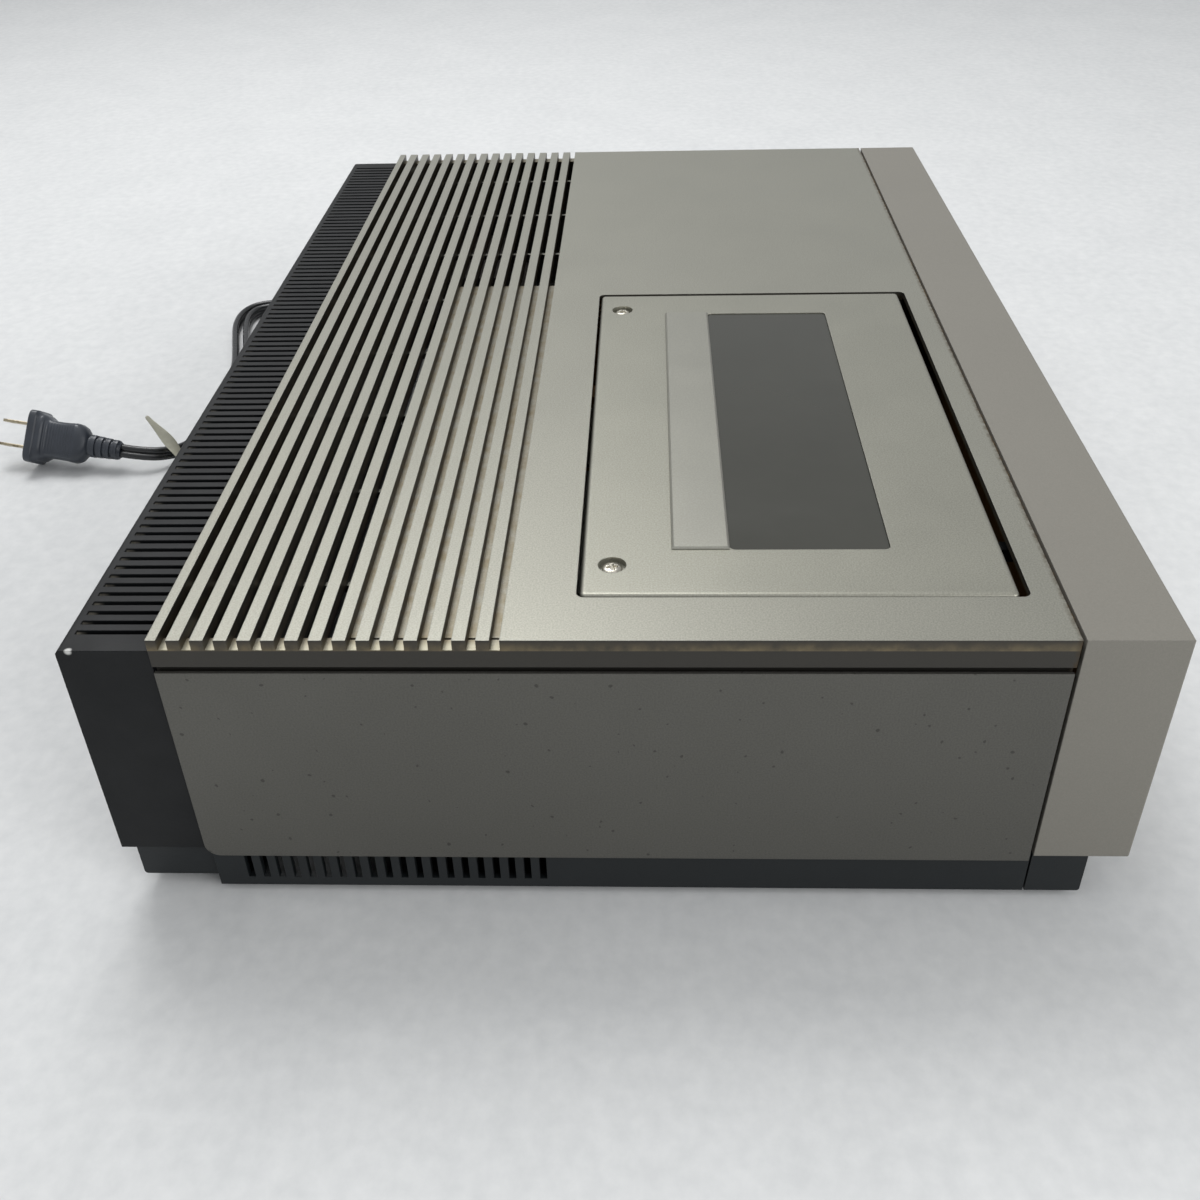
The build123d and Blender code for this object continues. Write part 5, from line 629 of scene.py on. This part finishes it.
# ---------------------------------------------------------------- mains cord
@dataclass
class MainsCord:
    """The flat twin cord from the back, tied in a hank behind the casing, with its plug.

    The route's points are in millimetres: out of the bushing, down to the floor, along the hank's four
    runs and its three turns, past the tie and up to the plug. The cord stands on its edge in the hank.
    """

    lobe: float = 1.84
    lobe_offset: float = 1.76
    length_m: float = 1.55
    origin: tuple[float, float, float] = (55.9, 270.9, 11.0)
    plug_axis: tuple[float, float, float] = (0.14, 0.985, 0.1)
    plug_row: tuple[float, float, float] = (0.576, -0.193, 0.794)
    exit_at: tuple[float, float, float] = (-84.0, 191.5, 40.0)
    grip_start: float = 25.0
    grip_end: float = 43.5
    grip_stations: int = 76
    plug_corners: int = 72
    ridge_pitch: float = 1.55
    ridge_height: float = 0.28
    blade_offset: float = 6.35
    tie_x: float = 51.5
    first_run_y: float = 227.55

    def route(self) -> np.ndarray:
        """The route's control points."""
        floor = 3.8
        lead = [(-84, 191.5, 40), (-84, 205, 39.2), (-78, 217.5, 34), (-64, 222.5, 26), (-45, 223, 16),
                (-25, 223.3, 8), (-5, 225.2, 3.8), (12, 226.3, 3.8)]
        flat = [(51.5, 227.55), (150, 227.55),
                # first far turn, inside the other
                (240, 227.55), (256.1, 227.55), (263.3, 234.75), (263.3, 244.95), (256.1, 252.15),
                (240, 252.5), (215, 246.5), (178, 236.2), (150, 233.55), (100, 233.55),
                # second run, back past the tie to the near turn
                (51.5, 233.55), (8, 233.55), (-52, 228.5), (-110, 217.5), (-155, 206.5),
                (-167.5, 203), (-173, 196), (-170, 186.5), (-160, 182),
                # third run, out again to the far turn's outer loop
                (-148, 186), (-95, 202), (-48, 210.5), (8, 221.55), (51.5, 221.55), (110, 221.55),
                (238, 221.55), (258.6, 221.55), (269.3, 232.3), (269.3, 247.4), (258.6, 258.1),
                (236, 258.9), (208, 251.5), (172, 241.8), (148, 239.55), (100, 239.55)]
        tail = [(76, 239.55, 3.8), (62, 245.5, 6.3), (54, 257.3, 9.6), (55.9, 270.9, 11.0)]
        return np.array(lead + [(x, y, floor) for x, y in flat] + tail)

    def centre_line(self) -> np.ndarray:
        """Points read from the route's smooth spline, in metres."""
        curve = bpy.data.curves.new("cord route", "CURVE")
        curve.dimensions = "3D"
        curve.resolution_u = 10
        spline = curve.splines.new("NURBS")
        route = self.route() * MM
        spline.points.add(len(route) - 1)
        spline.points.foreach_set("co", np.column_stack([route, np.ones(len(route))]).ravel())
        spline.order_u = 3
        spline.use_endpoint_u = True
        holder = bpy.data.objects.new("cord route", curve)
        bpy.context.scene.collection.objects.link(holder)
        mesh = bpy.data.meshes.new_from_object(holder)
        line = np.zeros(len(mesh.vertices) * 3)
        mesh.vertices.foreach_get("co", line)
        line = line.reshape(-1, 3)
        bpy.data.objects.remove(holder)
        bpy.data.meshes.remove(mesh)
        bpy.data.curves.remove(curve)
        keep = np.concatenate([[True], np.linalg.norm(np.diff(line, axis=0), axis=1) > 1e-5])
        return line[keep]

    def section(self) -> np.ndarray:
        """Two round lobes side by side with a shallow groove between them, in millimetres."""
        swing = math.acos(-self.lobe_offset / self.lobe) * 0.98
        bend = np.linspace(-swing, swing, 13)
        right = np.stack([self.lobe_offset + self.lobe * np.cos(bend), self.lobe * np.sin(bend)], -1)
        return np.concatenate([right, -right])

    def build(self) -> bpy.types.Object:
        """The cord as one tube: the section is carried along the line, its wide axis turned with care.

        The wide axis lies level at the bushing, stands upright on the floor and follows the blades at
        the plug. In between it is blended by the distance along the cord and squared to the line.
        """
        line = self.centre_line() * 1000
        step = np.linalg.norm(np.diff(line, axis=0), axis=1)
        run = np.concatenate([[0], np.cumsum(step)])
        ahead = np.gradient(line, axis=0)
        ahead /= np.linalg.norm(ahead, axis=1)[:, None]
        row = np.array(self.plug_row)
        start = smooth(run, 10, 110)[:, None]
        end = smooth(run, run[-1] - 60, run[-1] - 6)[:, None]
        wide = (1 - start) * np.array([1, 0, 0.25]) + start * np.array([0, 0, 1.0])
        wide = (1 - end) * wide + end * row
        wide -= np.einsum("ij,ij->i", wide, ahead)[:, None] * ahead
        wide /= np.linalg.norm(wide, axis=1)[:, None]
        thin = np.cross(ahead, wide)
        section = self.section()
        rings = (line[:, None] + section[None, :, :1] * wide[:, None] + section[None, :, 1:] * thin[:, None])
        piece = Shell.from_rings(rings).piece("twin_mains_cord", CORD_VINYL, "casing", 60)
        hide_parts("cord_lead", "cord_hank", "cord_tail")
        LOG.info("cord length %.3f m", run[-1] * MM)
        plug = self.plug()
        blades = self.blades()
        tie = self.tie()
        bushing = self.bushing()
        return piece

    def plug_axes(self) -> np.ndarray:
        """Rows: across the blades, through the plug's thickness, and along the plug."""
        along = np.array(self.plug_axis) / np.linalg.norm(self.plug_axis)
        row = np.array(self.plug_row)
        row = row - row @ along * along
        row /= np.linalg.norm(row)
        return np.stack([row, np.cross(along, row), along])

    def plug(self) -> bpy.types.Object:
        """The plug: a superellipse whose half widths and squareness run along the plug's length.

        Four doubled rings make the relief, the grip swells, narrows and flares into the front plate,
        and fine cross ridges stand on the grip's two broad sides.
        """
        # each station: place along the plug, half width, half thickness and squareness
        stations = [(0, 3.9, 3.0, 2.2), (1.4, 4.9, 3.8, 2.2)]
        doubled_ring = ((0, 5.1, 4.3), (1.1, 5.3, 4.4), (1.3, 4.9, 4.1), (2.5, 5.3, 4.5), (2.7, 4.3, 3.6),
                        (4.0, 4.3, 3.6))
        for number in range(4):
            at, grow = 1.6 + number * 4.1, 0.25 * number
            stations += [(at + z, wide + grow, thick + grow * 0.6, 2.4) for z, wide, thick in doubled_ring]
        stations += [(18.2, 5.6, 4.6, 2.6), (19.5, 7.4, 5.4, 2.7), (21.0, 9.2, 6.2, 2.8),
                     (23.5, 10.4, 6.8, 3.2)]
        body = np.linspace(self.grip_start, self.grip_end, self.grip_stations)
        share = (body - self.grip_start) / (self.grip_end - self.grip_start)
        wide = 10.6 - 0.55 * np.sin(np.pi * share) + 1.9 * smooth(share, 0.72, 1.0)
        thick = 7.0 - 0.5 * np.sin(np.pi * share) + 1.7 * smooth(share, 0.80, 1.0)
        wave = np.cos(2 * math.pi * (body - self.grip_start) / self.ridge_pitch)
        ridge = self.ridge_height * (0.5 + 0.5 * wave)
        ridge *= smooth(share, 0.02, 0.1) * (1 - smooth(share, 0.84, 0.9))
        stations += list(zip(body, wide, thick, np.full(self.grip_stations, 4.2)))
        plate = [(45.2, 13.1, 8.7, 6.0), (45.8, 13.8, 9.3, 7.0), (46.2, 14.0, 9.5, 7.0),
                 (49.4, 14.0, 9.5, 7.0), (50.0, 13.4, 8.9, 7.0)]
        table = np.array([tuple(station) for station in stations] + plate)
        lift = np.zeros(len(table))
        lift[len(stations) - self.grip_stations:len(stations)] = ridge
        angle = np.linspace(0, 2 * math.pi, self.plug_corners, endpoint=False)
        c, s = np.cos(angle), np.sin(angle)
        power = 2 / table[:, 3:4]
        x = table[:, 1:2] * np.sign(c) * np.abs(c) ** power
        y = table[:, 2:3] * np.sign(s) * np.abs(s) ** power
        # the ridges stand on the two broad sides and stop short of the rounded edges
        broad = smooth(np.abs(y) / table[:, 2:3], 0.80, 0.97)
        broad = broad * (1 - smooth(np.abs(x) / table[:, 1:2], 0.74, 0.86))
        y = y + np.sign(s) * (broad * (lift[:, None] - self.ridge_height * (lift[:, None] > 0)))
        rings = np.stack([x, y, np.repeat(table[:, :1], self.plug_corners, 1)], -1)
        shell = Shell.from_rings(rings).placed(self.plug_axes(), np.array(self.origin))
        piece = shell.piece("ridged_plug", PLUG_VINYL, "casing", 38)
        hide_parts("plug_body")
        return piece

    def blades(self) -> bpy.types.Object:
        """Two flat blades: a rounded-end outline with a hole, given its thickness by bridged rims.

        Each rim runs once round the hole and once round the outline, so the four loops close on
        themselves like a flat link.
        """
        whole = None
        turn = np.linspace(0, 2 * math.pi, 64, endpoint=False)
        hole = np.stack([1.5 * np.cos(turn), 13.0 + 1.5 * np.sin(turn)], -1)
        c, s = np.cos(turn), np.sin(turn)
        big = np.maximum(np.abs(c) / 3.15, np.where(s > 0, s / 4.5, -s / 13.0))
        rim = np.stack([c / big, 13.0 + s / big], -1)
        round_off = smooth(rim[:, 1], 14.6, 17.5)
        rim[:, 0] *= 1 - 0.32 * round_off * smooth(np.abs(rim[:, 0]), 1.2, 3.15)
        for side in (-1, 1):
            loops = []
            for outline, offset in ((hole, 0.75), (rim * np.array([0.93, 1.0]), 0.75), (rim, 0.45),
                                    (rim, -0.45), (rim * np.array([0.93, 1.0]), -0.75), (hole, -0.75)):
                loops.append(np.stack([np.full(64, side * self.blade_offset + offset), outline[:, 0],
                                       50.0 + outline[:, 1]], -1))
            blade = Shell.from_loops(np.array(loops))
            whole = blade if whole is None else whole + blade
        whole = whole.placed(self.plug_axes(), np.array(self.origin))
        piece = whole.piece("holed_blades", BLADE_PLATE, "casing", 35)
        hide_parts("plug_blades")
        return piece

    def tie(self) -> bpy.types.Object:
        """The tie: a flat band lapped round three runs, and its tongue, a strip that narrows to a point.

        Both carry the same rounded-bar section along a line of points; the tongue's line is a smooth
        blend of a rise from the floor and a lean away from the casing.
        """
        share = np.linspace(0, 1, 40)[:, None]
        start, knee = np.array([51.5, 237.0, 3.4]), np.array([52.0, 238.2, 13.5])
        bend, tip = np.array([55.2, 246.2, 20.6]), np.array([59.0, 254.4, 29.8])
        line = ((1 - share) ** 3 * start + 3 * share * (1 - share) ** 2 * knee
                + 3 * share ** 2 * (1 - share) * bend + share ** 3 * tip)
        half = 3.1 * (1 - 0.62 * smooth(share, 0.45, 1.0) ** 1.3)
        half *= np.sqrt(np.clip(1 - smooth(share, 0.955, 1.02) ** 2, 0.02, 1))
        turn = smooth(share, 0.1, 0.75)
        across = (1 - turn) * np.array([1, 0, 0]) + turn * np.array([0.35, -0.8, 0.43])
        whole = self.bar(line, across, half, np.full((40, 1), 0.42))
        angle = np.linspace(0, 2 * math.pi, 97)[:-1]
        flat = 6.0 * np.sign(np.cos(angle)) * smooth(np.abs(np.cos(angle)), 0.0, 0.35)
        y = self.first_run_y + flat + 3.25 * np.cos(angle)
        z = 3.85 + 3.3 * np.sin(angle) * (1 - 0.04 * np.cos(4 * angle))
        loop = np.stack([np.full(96, self.tie_x), y, np.maximum(z, 0.55)], -1)
        whole = whole + self.band(loop, 3.2, 0.4)
        piece = whole.piece("pointed_tie", TIE_VINYL, "casing", 50)
        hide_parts("cord_tie")
        return piece

    @staticmethod
    def bar(line: np.ndarray, across: np.ndarray, half: np.ndarray, thick: np.ndarray) -> Shell:
        """A flat strip along a line: an ellipse-like section, half wide across and thick through."""
        ahead = np.gradient(line, axis=0)
        ahead /= np.linalg.norm(ahead, axis=1)[:, None]
        across = across - np.einsum("ij,ij->i", across, ahead)[:, None] * ahead
        across /= np.linalg.norm(across, axis=1)[:, None]
        out = np.cross(ahead, across)
        angle = np.linspace(0, 2 * math.pi, 16, endpoint=False)
        c = np.sign(np.cos(angle)) * np.abs(np.cos(angle)) ** 0.35
        s = np.sign(np.sin(angle)) * np.abs(np.sin(angle)) ** 0.8
        rings = (line[:, None] + (half * c)[:, :, None] * across[:, None]
                 + (thick * s)[:, :, None] * out[:, None])
        return Shell.from_rings(rings)

    @staticmethod
    def band(loop: np.ndarray, half: float, thick: float) -> Shell:
        """A closed flat band: four edges carried round a closed loop that stands across X."""
        ahead = np.roll(loop, -1, 0) - np.roll(loop, 1, 0)
        ahead /= np.linalg.norm(ahead, axis=1)[:, None]
        out = np.cross(ahead, np.array([1.0, 0, 0]))
        side = np.array([half, 0, 0])
        rings = np.array([loop + side + out * thick, loop + side * 0.94 + out * thick * 1.15,
                          loop - side * 0.94 + out * thick * 1.15, loop - side + out * thick,
                          loop - side - out * thick, loop + side - out * thick])
        return Shell.from_loops(rings)

    def bushing(self) -> bpy.types.Object:
        """The bushing in the back: flange, neck through the wall and a ribbed taper."""
        profile = [(0.05, -4.5), (5.5, -4.5), (5.5, -2.5), (4.0, -2.5), (4.0, 0.0), (6.6, 0.0), (7.0, 0.4),
                   (7.0, 1.6), (6.5, 2.1), (4.6, 2.4)]
        for number in range(4):
            z, r = 4 + number * 5, 5.0 - 0.35 * number
            profile += [(r - 0.9, z - 1.2), (r - 0.9, z - 0.1), (r - 0.2, z), (r, z + 0.4), (r, z + 2.2),
                        (r - 0.2, z + 2.6)]
        profile += [(3.5, 22.4), (3.4, 23.6), (2.6, 24.0), (0.05, 24.0)]
        axes = np.array([[1, 0, 0], [0, 0, -1], [0, 1.0, 0]])
        shell = turned(profile).placed(axes, np.array([-84.0, 167.5, 40.0]))
        piece = shell.piece("ribbed_bushing", PLUG_VINYL, "casing", 40)
        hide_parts("strain_relief")
        return piece


# ---------------------------------------------------------------- dust
@dataclass
class SeamDust:
    """Brown dust that has settled in the seam between the front and the cover, in millimetres."""

    start: float = -236.0
    end: float = 236.0
    middle: float = -135.9
    half: float = 0.52
    top: float = 109.3
    depth: float = 2.2

    def build(self) -> bpy.types.Object:
        """A long strip with an uneven crest: its height is a sum of waves that don't repeat together."""
        x = np.linspace(self.start, self.end, 900)
        crest = sum(size * np.sin(x * rate + shift) for size, rate, shift in
                    ((0.22, 0.043, 0.4), (0.20, 0.31, 1.9), (0.16, 1.13, 0.2), (0.12, 2.9, 2.2)))
        angle = np.linspace(0, 2 * math.pi, 12, endpoint=False)
        side = np.sign(np.cos(angle)) * np.abs(np.cos(angle)) ** 0.6 * self.half
        rise = np.where(np.sin(angle) > 0, np.sin(angle) * 0.5, np.sin(angle) * self.depth)
        y = self.middle + np.repeat(side[None], len(x), 0)
        z = self.top - 0.7 + rise[None] + np.where(np.sin(angle) > 0, 1.0, 0.0)[None] * crest[:, None]
        rings = np.stack([np.repeat(x[:, None], len(angle), 1), y, z], -1)
        return Shell.from_rings(rings).piece("seam_dust", SEAM_DUST, "casing", 60)


# ---------------------------------------------------------------- stage
@dataclass
class Stage:
    """The pale floor, the soft lamps and the camera."""

    half: float = 5.0
    cells: int = 40
    position: tuple[float, float, float] = (-0.5330, -0.0106, 0.3358)
    right: tuple[float, float, float] = (0.03072, -0.99925, -0.02364)
    ahead: tuple[float, float, float] = (0.81126, 0.03875, -0.58340)
    focal_mm: float = 38.05

    def floor(self) -> None:
        """A pale felt-like floor with soft grey mottling, as a flat grid."""
        axis = np.linspace(-self.half, self.half, self.cells + 1)
        x, y = np.meshgrid(axis, axis, indexing="ij")
        points = np.stack([x, y, np.full_like(x, -0.0002)], -1).reshape(-1, 3)
        row, column = np.meshgrid(np.arange(self.cells), np.arange(self.cells), indexing="ij")
        line = self.cells + 1
        at = row * line + column
        quads = np.stack([at, at + line, at + line + 1, at + 1], -1).reshape(-1, 4)
        mesh = bpy.data.meshes.new("floor")
        mesh.from_pydata(points.tolist(), [], quads.tolist())
        wiring = Wiring(bpy.data.materials.new("pale mottled floor"))
        fine = wiring.blotches(7.0, 0, 1, 4.0)
        broad = wiring.blotches(60.0, 0, 1, 3.0)
        value = wiring.combine("ADD", wiring.combine("MULTIPLY", fine, 0.10),
                               wiring.combine("MULTIPLY", broad, 0.05))
        colour = wiring.paint(linear("#dcdddd"), linear("#c4c6c7"), wiring.combine("MULTIPLY", value, 4.0))
        wiring.tree.links.new(colour, wiring.shader.inputs["Base Color"])
        wiring.shader.inputs["Roughness"].default_value = 0.9
        mesh.materials.append(wiring.material)
        floor = bpy.data.objects.new("floor", mesh)
        bpy.context.scene.collection.objects.link(floor)

    def lamp(self, name: str, at: tuple[float, float, float], aim: tuple[float, float, float],
             size: tuple[float, float], watts: float, colour: str = "#ffffff") -> None:
        """A soft rectangular lamp."""
        light = bpy.data.lights.new(name, "AREA")
        light.shape = "RECTANGLE"
        light.size, light.size_y = size
        light.energy = watts
        light.color = linear(colour)[:3]
        lamp = bpy.data.objects.new(name, light)
        way = Vector(aim) - Vector(at)
        lamp.matrix_world = Matrix.Translation(at) @ way.to_track_quat("-Z", "Y").to_matrix().to_4x4()
        bpy.context.scene.collection.objects.link(lamp)

    def light(self) -> None:
        """A broad lamp behind and above, weaker ones overhead and near the camera, and a pale sky."""
        self.lamp("key", (0.75, 0.38, 1.58), (0.0, 0.05, 0.05), (0.9, 0.9), 17.0)
        self.lamp("overhead", (-0.1, 0.3, 2.0), (0.0, 0.0, 0.0), (2.0, 2.0), 6.5)
        self.lamp("fill", (-1.15, -1.15, 0.85), (-0.1, -0.1, 0.05), (1.2, 0.9), 13.0)
        world = bpy.data.worlds.new("pale room")
        world.use_nodes = True
        tree = world.node_tree
        back = tree.nodes["Background"]
        back.inputs["Color"].default_value = linear("#f4f6f8")
        rays = add_node(tree, "ShaderNodeLightPath")
        seen = add_node(tree, "ShaderNodeMath", {"operation": "MAXIMUM"},
                        {0: rays.outputs["Is Camera Ray"], 1: rays.outputs["Is Glossy Ray"]})
        seen = add_node(tree, "ShaderNodeMath", {"operation": "MAXIMUM"},
                        {0: seen.outputs[0], 1: rays.outputs["Is Transmission Ray"]})
        strength = add_node(tree, "ShaderNodeMapRange",
                            inputs={"Value": seen.outputs[0], "To Min": 0.50, "To Max": 0.55})
        tree.links.new(strength.outputs[0], back.inputs["Strength"])
        bpy.context.scene.world = world

    def camera(self) -> None:
        """The camera at the photograph's place and angle."""
        data = bpy.data.cameras.new("camera")
        data.sensor_width = 36.0
        data.lens = self.focal_mm
        data.clip_start = 0.01
        data.clip_end = 30.0
        camera = bpy.data.objects.new("camera", data)
        ahead = Vector(self.ahead).normalized()
        right = Vector(self.right)
        right = (right - right.dot(ahead) * ahead).normalized()
        turn = Matrix((right, right.cross(ahead), -ahead)).transposed()
        camera.matrix_world = Matrix.Translation(self.position) @ turn.to_4x4()
        bpy.context.scene.collection.objects.link(camera)
        bpy.context.scene.camera = camera
        bpy.context.scene.view_settings.view_transform = "Standard"


def main() -> None:
    """Builds the stage, the pieces and the finishes."""
    logging.basicConfig(level=logging.INFO, format="%(name)s: %(message)s")
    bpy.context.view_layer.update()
    stage = Stage()
    stage.camera()
    stage.light()
    stage.floor()
    MainsCord().build()
    SeamDust().build()
    Workshop.dress_solids()
    LID_SCREWS.build()
    CASE_SCREWS.build()


if __name__ == "__main__":
    main()
